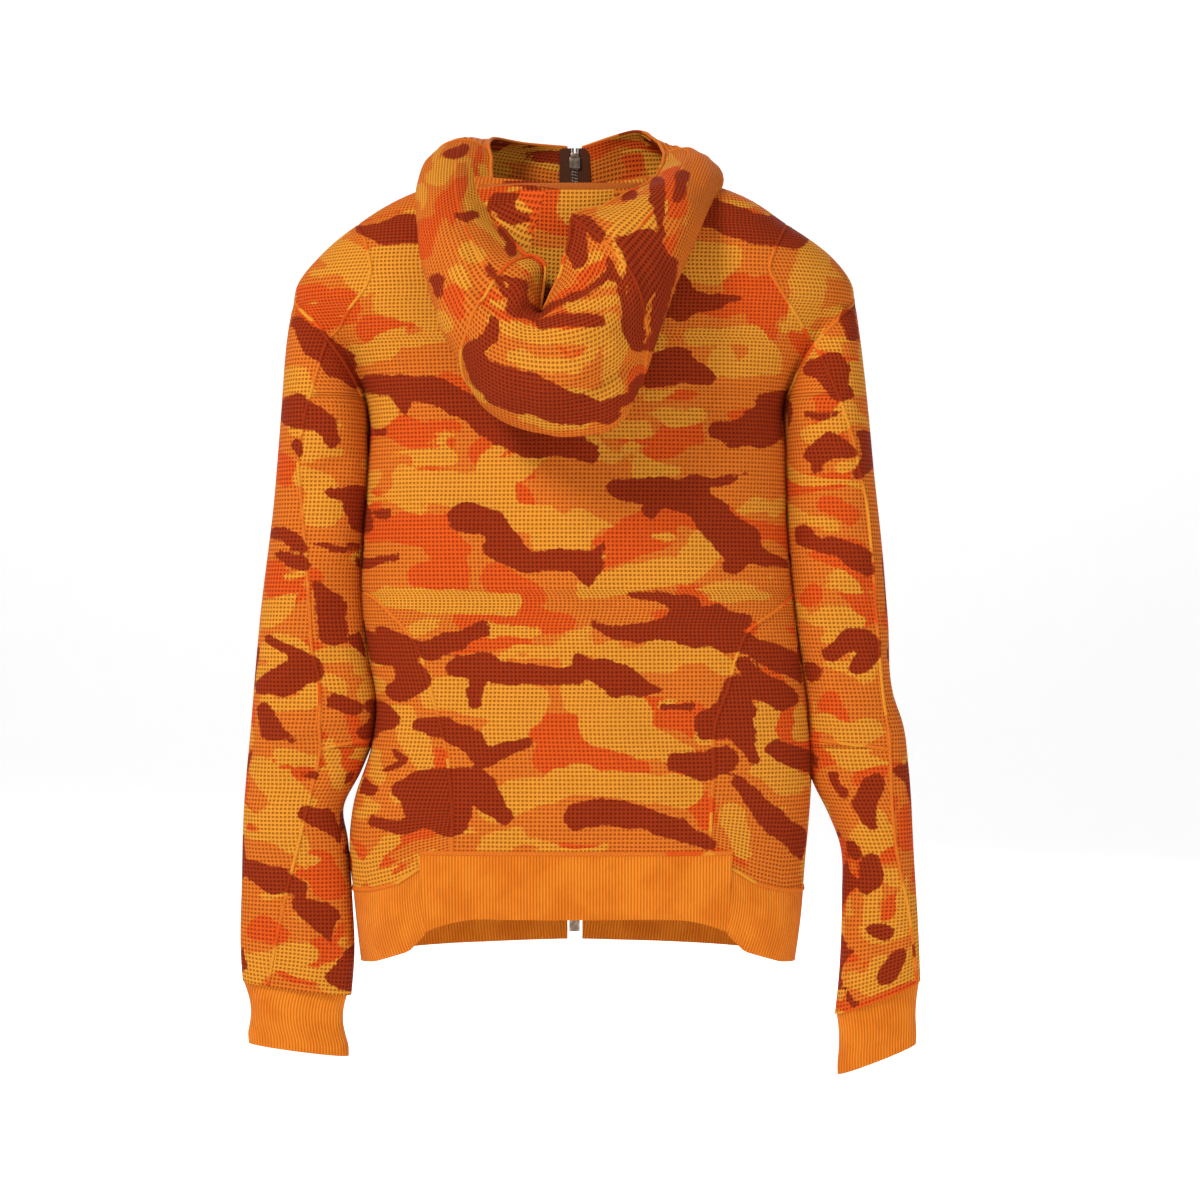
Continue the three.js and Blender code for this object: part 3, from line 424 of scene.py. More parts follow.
BODY_PRINT = {"rust": laid_patches(RUST), "gold": laid_patches(GOLD), "ember": laid_patches(EMBER)}
HOOD_PRINT = {"rust": laid_patches(HOOD_RUST), "gold": laid_patches(HOOD_GOLD),
              "ember": laid_patches(HOOD_EMBER)}


def blots(chains, x, z, swell):
    """How far inside the nearest chain of blots each point is."""
    inside = np.full(x.shape, -60.0)
    for chain in chains:
        for (ax, az, ar), (bx, bz, br) in zip(chain, chain[1:]):
            dx, dz = bx - ax, bz - az
            t = np.clip(((x - ax) * dx + (z - az) * dz) / (dx * dx + dz * dz), 0, 1)
            away = np.hypot((x - ax - t * dx) * 0.92, (z - az - t * dz) * 1.06)
            inside = np.maximum(inside, swell * (ar + (br - ar) * t) - away)
    return inside


def from_behind(grid):
    """Where points of the jacket show on an upright sheet through the neck, from where the camera stands."""
    scale = EYE.y / (EYE.y - grid[..., 1])
    return EYE.x + (grid[..., 0] - EYE.x) * scale, EYE.z + (grid[..., 2] - EYE.z) * scale


# The random print: how long and tall the patches of each colour are, in mm, how scarce, and how they lean.
PATCHES = {"rust": (74, 25, 0.22, 0.26), "gold": (66, 22, 0.10, -0.2), "ember": (82, 30, 0.14, 0.1)}
SWELL = {"rust": 1.12, "gold": 1.3, "ember": 1.3}


def shown_behind(grid):
    """1 where the print is laid as listed: on the jacket's back, apart from the cloth that the hood hides."""
    turned_over = grid[..., 1] + 13 - 8 * drift(grid[..., 2] / 20, grid[..., 0] / 25, 4)
    from_hood = np.hypot(grid[..., 0] / 85, (grid[..., 2] + 66) / 100)
    return np.clip(-turned_over / 4, 0, 1) * np.clip((from_hood - 1) / 0.06, 0, 1)


def printed(grain, grid, seed, chains=None, laid=None):
    """The three patch fields of the print, in mm inside each patch: laid as listed where laid is 1."""
    x, z = grain[..., 0], grain[..., 1]
    bend = 13 * drift(x / 46, z / 30, seed + 1)
    wave = 9 * drift(x / 30, z / 24, seed + 2)
    fields = {}
    for step, (key, (long, tall, least, lean)) in enumerate(PATCHES.items()):
        own_seed = seed + 10 * step + 20
        rise = z + bend + lean * x
        broad = drift((x + wave) / long, rise / tall, own_seed)
        detail = drift((x - wave) / (long * 0.4), rise / (tall * 0.45), own_seed + 3)
        fields[key] = (broad + 0.5 * detail - least) * 17
    if not chains:
        return fields
    laid = shown_behind(grid) if laid is None else laid
    x, z = from_behind(grid)
    x, z = x + 2.4 * drift(x / 13, z / 9, 3), z + 2.4 * drift(x / 15, z / 9, 6)
    for key, swell in SWELL.items():
        placed = blots(chains[key], x, z, swell) + 1.4 * drift(x / 9, z / 6, 5)
        if key != "rust":
            placed = np.maximum(placed, fields[key] - 8)
        fields[key] = placed * laid + fields[key] * (1 - laid)
    return fields


def print_on(seed, chains=None, laid=None):
    """The print as the fields of a piece of cloth."""
    return lambda grain, grid: printed(grain, grid, seed, chains, laid)


class Wire:
    """A socket of one material's nodes. Arithmetic on it adds Math nodes, and add() adds any other node."""

    def __init__(self, tree, socket=None):
        self.tree = tree
        self.socket = socket

    def add(self, kind, settings=None, sockets=None, out=0):
        """One node: its settings are made first, then its sockets are set or linked."""
        node = self.tree.nodes.new("ShaderNode" + kind)
        for key, value in (settings or {}).items():
            setattr(node, key, value)
        for key, value in (sockets or {}).items():
            if isinstance(value, Wire):
                self.tree.links.new(value.socket, node.inputs[key])
            else:
                node.inputs[key].default_value = value
        return Wire(self.tree, node.outputs[out])

    def math(self, operation, *values):
        return self.add("Math", {"operation": operation}, dict(enumerate(values)))

    def __add__(self, other):
        return self.math("ADD", self, other)

    def __sub__(self, other):
        return self.math("SUBTRACT", self, other)

    def __rsub__(self, other):
        return self.math("SUBTRACT", other, self)

    def __mul__(self, other):
        return self.math("MULTIPLY", self, other)

    __radd__ = __add__
    __rmul__ = __mul__

    def ribs(self, pitch):
        """A wave from 0 to 1 that comes round every pitch metres."""
        return self.math("COSINE", self * (2 * math.pi / pitch)) * 0.5 + 0.5

    def power(self, exponent):
        return self.math("POWER", self, exponent)

    def ramp(self, low, high):
        """0 below low and 1 above high, with a smooth step between."""
        return self.add("MapRange", {"interpolation_type": "SMOOTHSTEP"}, {0: self, 1: low, 2: high})

    def dye(self, under, over):
        """The colour over where this is 1, and under where it is 0: it lays print dyes, random tone, and the
        painted shade in the waffle's pits.
        """
        return self.add("Mix", {"data_type": "RGBA"}, {0: self, 6: under, 7: over}, 2)

    def tinted(self, colour):
        """This colour multiplied by another."""
        return self.add("VectorMath", {"operation": "MULTIPLY"}, {0: self, 1: colour[:3]})

    def shade(self, light):
        """This colour multiplied by a grey value."""
        grey = self.add("CombineXYZ", None, {0: light, 1: light, 2: light})
        return self.add("VectorMath", {"operation": "MULTIPLY"}, {0: self, 1: grey})


def paint(red, green, blue):
    """A linear colour from its 0 to 255 values."""
    return tuple(((c / 255 + 0.055) / 1.055) ** 2.4 if c > 10 else c / 255 / 12.92
                 for c in (red, green, blue)) + (1,)


def new_material(name, roughness, sheen=0.0, metallic=0.0):
    """A material with its even values set, the start of its wires, and its surface."""
    material = bpy.data.materials.new(name)
    material.use_nodes = True
    surface = material.node_tree.nodes["Principled BSDF"]
    surface.inputs["Roughness"].default_value = roughness
    surface.inputs["Sheen Weight"].default_value = sheen
    surface.inputs["Sheen Roughness"].default_value = 0.5
    surface.inputs["Metallic"].default_value = metallic
    surface.inputs["Specular IOR Level"].default_value = 0.5 if metallic else 0.12
    return material, Wire(material.node_tree), surface


def finish_material(wire, surface, colour, height, depth):
    """Sends a colour and a height of 0 to 1, depth metres deep, to the surface."""
    bump = wire.add("Bump", None, {"Strength": 1.0, "Distance": depth, "Height": height})
    wire.tree.links.new(bump.socket, surface.inputs["Normal"])
    wire.tree.links.new(colour.socket, surface.inputs["Base Color"])


ORANGE, RED_ORANGE = paint(203, 104, 27), paint(203, 76, 15)
PALE_GOLD, DARK_RUST = paint(209, 134, 38), paint(139, 42, 6)
WAFFLE = 3.6
# PIT_SHADE tints the waffle's pits darker and browner: a painted shade in the hollows.
PIT_SHADE = (0.65, 0.47, 0.34)


def on_cloth(wire):
    """Places on the flat cloth in metres: both together, across the grain, and along it."""
    grain = wire.add("UVMap", {"uv_map": "grain"})
    across = wire.add("SeparateXYZ", None, {0: grain})
    return grain, across, Wire(wire.tree, across.socket.node.outputs[1])


def print_colours(wire, ragged, soft):
    """The four colours of the print, with a ragged edge and soft millimetres of blur."""
    colour = ORANGE
    for key, dye in (("ember", RED_ORANGE), ("gold", PALE_GOLD), ("rust", DARK_RUST)):
        patch = wire.add("Attribute", {"attribute_name": key}, out=2)
        colour = (patch + ragged).ramp(-soft, soft).dye(colour, dye)
    return colour


def waffle_knit():
    """Waffle knit: a grid of pits between raised ridges, with the print over both, and painted shade
    darkening the pits.
    """
    material, wire, surface = new_material("waffle_knit", 0.9)
    grain, across, along = on_cloth(wire)
    pit = (across.ribs(WAFFLE * MM).power(0.8) * along.ribs(WAFFLE * MM).power(1.1)).ramp(0.16, 0.8)
    fine = wire.add("TexNoise", None, {"Vector": grain, "Scale": 260.0, "Detail": 3.0})
    colour = print_colours(wire, (fine - 0.5) * 5.0, 0.7)
    worn = wire.add("TexNoise", None, {"Vector": grain, "Scale": 18.0, "Detail": 4.0})
    yarn = wire.add("TexNoise", None, {"Vector": grain, "Scale": 2600.0, "Detail": 1.0})
    # Painted shade: the pits are darkened here and tinted with PIT_SHADE; the worn and yarn noise add random
    # tone.
    light = (1.04 - pit * 0.12) * (0.93 + worn * 0.14) * (0.94 + yarn * 0.12)
    colour = pit.dye(colour, colour.tinted(PIT_SHADE)).shade(light)
    finish_material(wire, surface, colour, 1.0 - pit + yarn * 0.08, 0.0012)
    return material


knit = waffle_knit()

# Where the back panel ends on each side, as (height, x): a princess seam, the side, and the shoulder patch.
back_limit = {
    "left": smooth_line([(-576, -104), (-528, -104), (-502, -106), (-476, -110), (-458, -114), (-438, -120),
                         (-419, -125), (-397, -132), (-379, -143), (-364, -158), (-352, -171), (-343, -186)]),
    "right": smooth_line([(-576, 117), (-541, 118), (-496, 120), (-456, 122), (-429, 132), (-398, 141),
                          (-375, 154), (-362, 174), (-347, 192)]),
}
armhole = {
    "left": smooth_line([(-176, -184), (-160, -191), (-144, -200), (-127, -212), (-115, -221), (-104, -233),
                         (-92, -244)]),
    "right": smooth_line([(-174, 187), (-154, 195), (-132, 208), (-120, 218), (-106, 232), (-92, 245)]),
}
patch_seam = {
    "left": smooth_line([(-127, -212), (-118, -203), (-101, -191), (-87, -179), (-73, -173), (-57, -175),
                         (-41, -180), (-26, -190)]),
    "right": smooth_line([(-129, 206), (-107, 191), (-85, 176), (-70, 168), (-53, 172), (-38, 179),
                          (-24, 187)]),
}
body_edge = {"left": left_edge, "right": right_edge}


def panel_edge(z, side):
    """Where the back or a front panel ends on one side at height z."""
    edge = body_edge[side](z)
    upper = np.where(z < PATCH_END, armhole[side](z), np.where(z < SHOULDER, patch_seam[side](z), edge))
    return np.where(z < SIDE_TOP, back_limit[side](z), np.where(z < ARMPIT, edge, upper))


def rows_between(low, high, step=ROW):
    """Heights from high down to low, about step apart."""
    return np.linspace(high, low, int((high - low) / step) + 1)


def levels(z, x):
    """The height of each place in a grid whose rows are at heights z."""
    return np.broadcast_to(z[:, None], x.shape)


def neck_dip(x, z, drop):
    """Lowers the top rows towards the middle of the neck by drop."""
    t = np.clip((z + 26) / 44, 0, 1) ** 2
    return z - drop * np.clip(1 - (x / 100) ** 2, 0, 1) * t


z = rows_between(BACK_END, NECK_TOP)
x = span(panel_edge(z, "left"), panel_edge(z, "right"), 121)
heights = neck_dip(x, levels(z, x), 14)
back_grid = body_point(x, heights, True)
back_panel = cloth_mesh("back_panel_cloth", back_grid, print_on(2, BODY_PRINT), centre=(0, 0, -300),
                        top=NECK_TOP)


def join(piece, body):
    """Fixes a piece to one body by its name; given two bodies and a joint, it only bakes the piece's place
    into its mesh.
    """
    if isinstance(body, str):
        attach(piece, body)
    else:
        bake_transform(piece)


def sew_on(piece, node, body, material):
    """Gives a sheet its material, hides the mesh that it was drawn on, reads its flat cloth places, and joins
    it to its body.
    """
    piece.data.materials.append(material)
    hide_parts(node)
    flat = np.empty(len(piece.data.loops) * 2, np.float32)
    piece.data.uv_layers["grain"].data.foreach_get("uv", flat)
    join(piece, body)


sew_on(back_panel, "back_panel", "torso", knit)

# ---- Shoulder patches -----------------------------------------------------------------------
# A small curved yoke of the same knit sits on each shoulder, let in between the back, the front and
# the head of the sleeve, and sewn with covered seams.

SIDES = (("left", -1), ("right", 1))

for side, sign in SIDES:
    z = rows_between(PATCH_END - 0.5, SHOULDER, 4)
    outer = np.where(z < -90, armhole[side](z), body_edge[side](z))
    inner = patch_seam[side](z)
    x_back = span(inner, outer, 14, (False, True))
    x_front = span(outer, inner + sign * 2, 14, (True, False))
    back_part = body_point(x_back, levels(z, x_back), True)
    front_part = body_point(x_front, levels(z, x_front), False)
    for face, part in (("back", back_part), ("front", front_part)):
        patch = cloth_mesh(f"shoulder_patch_{side}_{face}", part, print_on(5 + sign, BODY_PRINT),
                           centre=(sign * 150, 0, -140))
        sew_on(patch, f"shoulder_patch_{side}", "torso", knit)

# ---- Front panels ---------------------------------------------------------------------------
# Two fronts of the same knit, cut like the back, meet the zip down the middle with their edges
# turned in, and run from the neck seam down to the hem band.

ZIP_EDGE = 7

for side, sign in SIDES:
    z = rows_between(FRONT_END, NECK_TOP)
    outer = panel_edge(z, side)
    x = span(np.full(len(z), sign * float(ZIP_EDGE)), outer, 70, (False, True))
    dip = levels(z, x)
    t = np.clip((dip + 110) / 128, 0, 1) ** 1.5
    dip = dip - 56 * np.clip(1 - (x / 100) ** 2, 0, 1) ** 0.8 * t
    front = cloth_mesh(f"front_panel_{side}_cloth", body_point(x, dip, False), print_on(31 + sign),
                       centre=(sign * 60, 0, -300))
    sew_on(front, f"front_panel_{side}", "torso", knit)

# ---- Side panels ----------------------------------------------------------------------------
# A shaped panel under each arm wraps from the back to the front below a curved seam, with its grain
# turned a little, and its lower edge steps down to the band at the side.

for side, sign in SIDES:
    z = rows_between(FRONT_END, SIDE_TOP - 1)
    inner = back_limit[side](z)
    edge = body_edge[side](z)
    x_back = span(inner, edge, 26, (False, True))
    x_front = span(edge, inner, 26, (True, False))
    heights = levels(z, x_back)
    lift = np.interp(np.abs(x_back), [104, 134, 155, 181, 200], [28, 18, 8, 0, 0])
    t = np.clip((-520 - heights) / 84, 0, 1)
    back_part = body_point(x_back, heights + lift * t * t * (3 - 2 * t), True)
    front_part = body_point(x_front, heights, False)
    grid = np.concatenate([back_part, front_part[:, 1:]], 1)
    panel = cloth_mesh(f"side_panel_{side}_cloth", grid, print_on(44 + sign, BODY_PRINT),
                       centre=(sign * 120, 0, -450))
    sew_on(panel, f"side_panel_{side}", "torso", knit)

# ---- Hem band -------------------------------------------------------------------------------
# A double band of ribbed knit is sewn round the hem in three lengths. It sits higher across the
# back, steps down at the sides and is open at the zip.

RIB = 2.7


def rib_knit():
    """Ribbed knit: fine upright ribs in plain orange, with painted shade darkening the grooves between them.
    """
    material, wire, surface = new_material("rib_knit", 0.88, sheen=0.03)
    grain, across, along = on_cloth(wire)
    rib = across.ribs(RIB * MM).power(0.6)
    stitch = along.ribs(0.0016)
    worn = wire.add("TexNoise", None, {"Vector": grain, "Scale": 26.0, "Detail": 4.0})
    yarn = wire.add("TexNoise", None, {"Vector": grain, "Scale": 2200.0, "Detail": 1.0})
    tone = worn.ramp(0.35, 0.65).dye(paint(217, 112, 19), paint(230, 127, 28))
    # Painted shade between the ribs: the grooves are darkened; the yarn noise adds random tone.
    light = (0.72 + rib * 0.34) * (0.93 + yarn * 0.14)
    finish_material(wire, surface, tone.shade(light), rib + stitch * 0.12, 0.0009)
    return material


ribbing = rib_knit()


def plain(grain, grid):
    """Cloth without a print has no patch fields."""
    return {}


def band_grid(fractions, side_of, top, low, back, rows=15):
    """A length of band round the body: fractions of the half width, and its top and lower edges there."""
    t = np.linspace(0, 1, rows)[:, None]
    high, deep = top[None, :], low[None, :]
    heights = high + (deep - high) * t
    edge = np.where(side_of[None, :] < 0, left_edge(heights), right_edge(heights))
    x = np.abs(fractions)[None, :] * edge
    belly = 2.5 * np.sin(np.pi * t) + 0 * heights
    flat = np.where(back[None, :], body_point(x, heights, True)[..., 1] - belly,
                    body_point(x, heights, False)[..., 1] + belly * 0.5)
    return np.stack([x, flat, heights], -1)


BAND_THICK, BACK_SHARE, BACK_COUNT = 2.6, 134 / 200, 22
half_way = np.linspace(0, BACK_SHARE, 46)
back_places = np.concatenate([-half_way[::-1], half_way[1:]])
all_behind = np.full(back_places.size, True)
band_top = np.full(back_places.size, float(BACK_END))
band_low = -626 - 12 * np.clip((np.abs(back_places) - 0.4) / 0.27, 0, 1) ** 2
places = band_grid(back_places, np.sign(back_places - 1e-6), band_top, band_low, all_behind)
band = cloth_mesh("hem_band_back_cloth", places, plain, centre=(0, 0, -600), thick=BAND_THICK)
sew_on(band, "hem_band_back", "torso", ribbing)


def side_band_line():
    """A side band's places as fractions of the half width, its top there, and which lie behind."""
    turned = 1 - (1 - BACK_SHARE) * (1 - np.sin(np.linspace(0, np.pi / 2, BACK_COUNT)))
    onward = np.cos(np.linspace(0, np.pi / 2, 54)) ** 0.8 * (1 - 0.035) + 0.035
    fractions = np.concatenate([turned, onward[1:]])
    back = np.arange(fractions.size) < BACK_COUNT
    top = np.where(back, FRONT_END + np.interp(fractions, [0.67, 0.78, 0.9, 1], [22, 8, 1, -1]),
                   FRONT_END + 0.5)
    return fractions, top, back


for side, sign in SIDES:
    fractions, top, back = side_band_line()
    low = np.where(back, np.interp(fractions, [0.67, 0.75, 0.92, 1], [-640, -655, -666, -668]),
                   -668 + 7 * (1 - fractions) ** 0.5)
    places = band_grid(fractions, np.full(fractions.size, sign), top, low, back)
    band = cloth_mesh(f"hem_band_{side}_cloth", places, plain, centre=(sign * 80, 0, -630), thick=BAND_THICK)
    sew_on(band, f"hem_band_{side}", "torso", ribbing)

# ---- Sleeves --------------------------------------------------------------------------------
# Each sleeve is an outer panel from shoulder to cuff, an under panel from the armhole to the elbow
# and a forearm panel below it. They are sewn into one tube that hangs from the armhole.

SLEEVE_TOP, ELBOW, SLEEVE_END = -86, -480, -686
SWING_FROM, SWING_WAY, SWING_RUN = (213, 0, -130), (0.81, 0, -0.59), 115
CREASES = {
    "left": [((-190, -225), (-250, -270), 11, -3.5), ((-255, -300), (-200, -350), 12, 3),
             ((-195, -400), (-262, -440), 9, -4), ((-190, -455), (-270, -470), 8, 4),
             ((-195, -490), (-275, -520), 9, -4), ((-205, -540), (-280, -570), 12, 3),
             ((-240, -600), (-225, -680), 10, 3)],
    "right": [((192, -220), (250, -262), 11, -3.5), ((262, -310), (210, -360), 12, 3),
              ((205, -400), (272, -432), 9, -3.5), ((215, -450), (285, -470), 8, 4),
              ((220, -492), (286, -515), 9, -3.5), ((240, -560), (292, -580), 12, 3),
              ((255, -610), (262, -690), 10, 3)],
}
outer_seam = {
    "left": smooth_line([(-127, -212), (-158, -221), (-204, -233), (-235, -237), (-265, -235), (-310, -231),
                         (-355, -228), (-400, -225), (-423, -220), (-462, -220), (-482, -220), (-519, -228),
                         (-557, -237), (-603, -249), (-655, -261), (-690, -268)]),
    "right": smooth_line([(-130, 208), (-158, 220), (-190, 233), (-219, 242), (-243, 247), (-266, 253),
                          (-300, 257), (-360, 262), (-430, 268), (-478, 274), (-494, 275), (-536, 277),
                          (-578, 282), (-621, 292), (-655, 297), (-690, 301)]),
}


def cuff_drop(x, side):
    """How much lower the sleeve's end hangs at x than at its outer edge."""
    return 13 * np.clip((x + 294) / 98, 0, 1) if side == "left" else 30 * np.clip((306 - x) / 77, 0, 1)


def swing_of(side, sign):
    """The bend of one sleeve's cloth from the torso to the sleeve."""
    start = Vector((sign * SWING_FROM[0], 0, SWING_FROM[2])) * MM
    end = Vector((sign * (SWING_FROM[0] + SWING_RUN * SWING_WAY[0]), 0,
                  SWING_FROM[2] + SWING_RUN * SWING_WAY[2])) * MM
    return "torso", f"{side}_sleeve", start, end


def sleeve_point(x, z, side, back):
    """The sleeve's skin at (x, z), creased, and smoothed into the shoulder at its head."""
    outer, inner = sleeve_edges[side]
    low, high = np.minimum(outer(z), inner(z)), np.maximum(outer(z), inner(z))
    depth = bulge(x, low, high, sleeve_depth(z))
    ease = 1.8 * drift(x / 40, z / 60, 9) + 1.1 * drift(x / 22, z / 30, 12)
    for start, end, width, height in CREASES[side]:
        ease = ease + crease(x, z, start, end, width, height * (1 if back else 0.6))
    depth = depth + ease * np.clip(depth / 18, 0, 1)
    t = np.clip((-600 - z) / 84, 0, 1)
    free = np.stack([x, (-1 if back else 1) * depth, z - cuff_drop(x, side) * t * t * (3 - 2 * t)], -1)
    joined = np.clip((z + 182) / 16, 0, 1)[..., None]
    return free * (1 - joined) + body_point(x, z, back, -400) * joined


def tube_grid(side, z, first, turn, last, cols):
    """Rows that go over the back from first to turn, then over the front from turn to last."""
    x_back = span(first, turn, cols, (False, True))
    x_front = span(turn, last, cols, (True, False))
    back_part = sleeve_point(x_back, levels(z, x_back), side, True)
    front_part = sleeve_point(x_front, levels(z, x_front), side, False)
    return np.concatenate([back_part, front_part[:, 1:]], 1)


for side, sign in SIDES:
    outer, inner = sleeve_edges[side]
    z = rows_between(SLEEVE_END, SLEEVE_TOP)
    seam_line = np.where(z > PATCH_END, armhole[side](z), outer_seam[side](z))
    pieces = {"outer": tube_grid(side, z, seam_line, outer(z), seam_line, 26)}
    z = rows_between(ELBOW, PATCH_END - 0.5)
    edge = np.where(z > -176, armhole[side](z), inner(z))
    pieces["under"] = tube_grid(side, z, outer_seam[side](z), edge, outer_seam[side](z), 20)
    z = rows_between(SLEEVE_END, ELBOW - 0.5)
    pieces["forearm"] = tube_grid(side, z, outer_seam[side](z), inner(z), outer_seam[side](z), 24)
    for step, (part, grid) in enumerate(pieces.items()):
        cloth = cloth_mesh(f"sleeve_{part}_{side}_cloth", grid, print_on(60 + 7 * step + sign, BODY_PRINT),
                           centre=(sign * 245, 0, -360))
        sew_on(cloth, f"sleeve_{part}_{side}", swing_of(side, sign), knit)

# ---- Cuffs ----------------------------------------------------------------------------------
# A deep double cuff of the same ribbed knit is sewn on the end of each sleeve, which is gathered a
# little into it.

CUFF_TOP, CUFF_LONG = -685, 55
# Each cuff's edges, how much it is drawn in below its seam, and how far its end slides to the side.
CUFFS = {"left": (-291, -199, 0.10, 3), "right": (231, 304, 0.05, -1)}

for side, sign in SIDES:
    around = np.linspace(0.01, 2 * np.pi - 0.01, 74) + (np.pi if sign > 0 else 0)
    rows = np.linspace(0, 1, 16)[:, None]
    low, high, pinch, slide = CUFFS[side]
    middle, wide = (low + high) / 2, (high - low) / 2
    wide = wide * (1 - pinch * np.sin(np.pi * np.clip(rows * 1.2, 0, 1))) - 2.0 * rows
    x = middle + slide * rows - wide * np.cos(around)[None, :]
    y = (17 - 2.5 * rows) * np.sign(np.sin(around)) * np.abs(np.sin(around)) ** 0.8 + 0 * x
    z = CUFF_TOP - CUFF_LONG * rows + 0 * x
    cuff = cloth_mesh(f"cuff_{side}_cloth", np.stack([x, y, z - cuff_drop(x, side)], -1), plain,
                      centre=(middle, 0, -715), thick=2.4)
    sew_on(cuff, f"cuff_{side}", f"{side}_sleeve", ribbing)

# ---- Hood -----------------------------------------------------------------------------------
# The hood is three panels of the knit sewn to the neck, with its fronts standing up either side of
# the zip. Dropped back, it hangs as a deep folded bag whose rim makes a V at the nape.

# Places round the neck from the left front to the right front: each is the line that the cloth takes
# from the neck seam, down or out, and up to the rim.
HOOD_LINES = [
    [(-7, 84, -38), (-7, 84, -22), (-7, 84, -5), (-7, 84, 12), (-7, 84, 26), (-7, 84, 40), (-7, 84, 52),
     (-7, 83, 61)],
    [(-45, 81, -36), (-46, 83, -20), (-48, 84, -2), (-50, 83, 16), (-51, 81, 32), (-50, 79, 46),
     (-48, 75, 56), (-44, 70, 62)],
    [(-80, 62, -24), (-88, 64, -10), (-95, 64, 6), (-99, 61, 22), (-99, 57, 38), (-95, 52, 50), (-84, 48, 59),
     (-70, 44, 62)],
    [(-98, 22, 8), (-108, 22, 8), (-117, 20, 16), (-121, 16, 28), (-118, 11, 42), (-108, 8, 52), (-92, 7, 56),
     (-76, 8, 50)],
    [(-97, -12, 16), (-112, -18, 8), (-128, -24, 6), (-137, -28, 13), (-134, -31, 27), (-119, -31, 40),
     (-96, -28, 42), (-73, -20, 34)],
    [(-80, -38, 14), (-100, -54, -2), (-124, -66, -18), (-138, -74, -22), (-138, -82, -4), (-122, -82, 12),
     (-98, -70, 16), (-71, -46, 7)],
    [(-62, -56, 10), (-88, -80, -24), (-114, -88, -54), (-131, -96, -60), (-135, -110, -40),
     (-120, -116, -20), (-94, -98, -8), (-67, -72, -15)],
    [(-46, -68, 8), (-70, -86, -42), (-96, -91, -92), (-117, -104, -102), (-125, -126, -80),
     (-112, -140, -52), (-84, -124, -32), (-58, -94, -31)],
    [(-30, -74, 8), (-52, -88, -58), (-74, -92, -120), (-98, -110, -146), (-107, -138, -122),
     (-96, -160, -88), (-70, -146, -54), (-44, -110, -46)],
    [(-18, -75, 8.5), (-32, -88, -65), (-46, -93, -145), (-72, -112, -188), (-84, -144, -158),
     (-74, -168, -112), (-48, -154, -70), (-25, -122, -57)],
    [(-6, -75, 8.5), (-12, -88, -68), (-20, -94, -155), (-38, -122, -204), (-46, -156, -176),
     (-44, -172, -124), (-36, -160, -102), (-28, -142, -97)],
    [(8, -75, 8.5), (8, -88, -68), (8, -94, -155), (2, -124, -207), (4, -158, -176), (0, -174, -122),
     (-8, -164, -86), (-15, -144, -74)],
    [(24, -74, 8.5), (28, -88, -62), (32, -94, -150), (38, -120, -198), (42, -152, -160), (34, -168, -106),
     (16, -160, -68), (-5, -136, -38)],
    [(36, -71, 9), (46, -88, -54), (54, -92, -128), (61, -108, -160), (68, -138, -122), (58, -154, -76),
     (32, -146, -38), (0, -124, -14)],
    [(50, -66, 10), (62, -84, -42), (74, -90, -95), (79, -100, -108), (87, -122, -76), (80, -134, -44),
     (56, -128, -12), (28, -108, -3)],
    [(64, -56, 12), (80, -76, -26), (92, -84, -56), (98, -92, -58), (104, -102, -34), (98, -108, -8),
     (78, -102, 8), (52, -86, 9)],
    [(82, -38, 14), (98, -52, -4), (110, -60, -14), (118, -66, -10), (118, -70, 6), (107, -70, 22),
     (90, -66, 28), (72, -56, 20)],
    [(97, -12, 16), (112, -18, 10), (124, -22, 10), (130, -25, 17), (126, -26, 29), (113, -24, 40),
     (96, -22, 42), (79, -22, 36)],
    [(98, 22, 8), (106, 22, 12), (113, 20, 20), (114, 16, 32), (110, 12, 42), (100, 8, 45), (88, 6, 47),
     (78, 5, 45)],
    [(80, 62, -24), (84, 64, -10), (88, 63, 6), (89, 60, 22), (88, 56, 36), (84, 50, 49), (77, 42, 59),
     (69, 34, 61)],
    [(45, 81, -36), (45, 83, -20), (45, 84, -2), (46, 83, 16), (47, 81, 34), (48, 76, 52), (50, 69, 64),
     (52, 60, 71)],
    [(7, 84, -38), (7, 84, -22), (7, 84, -5), (7, 84, 12), (7, 84, 26), (7, 84, 40), (7, 84, 52),
     (7, 83, 61)],
]


def through(points, places):
    """A smooth curve through rows of points at fractional places along them."""
    last = len(points) - 1
    i = np.clip(np.floor(places).astype(int), 0, last - 1)
    t = (places - i).reshape((-1,) + (1,) * (points.ndim - 1))
    a, b = points[np.maximum(i - 1, 0)], points[i]
    c, d = points[i + 1], points[np.minimum(i + 2, last)]
    return 0.5 * (2 * b + (c - a) * t + (2 * a - 5 * b + 4 * c - d) * t ** 2 + (3 * b - a - 3 * c + d)
                  * t ** 3)


hood_lines = np.array(HOOD_LINES, float)
# The lines behind the neck are given as they show on an upright plane through it, so they draw in here.
closer = 1 + np.minimum(hood_lines[..., 1], 0) / -EYE.y
hood_lines[..., 0] = EYE.x + (hood_lines[..., 0] - EYE.x) * closer
hood_lines[..., 2] = EYE.z + (hood_lines[..., 2] - EYE.z) * closer


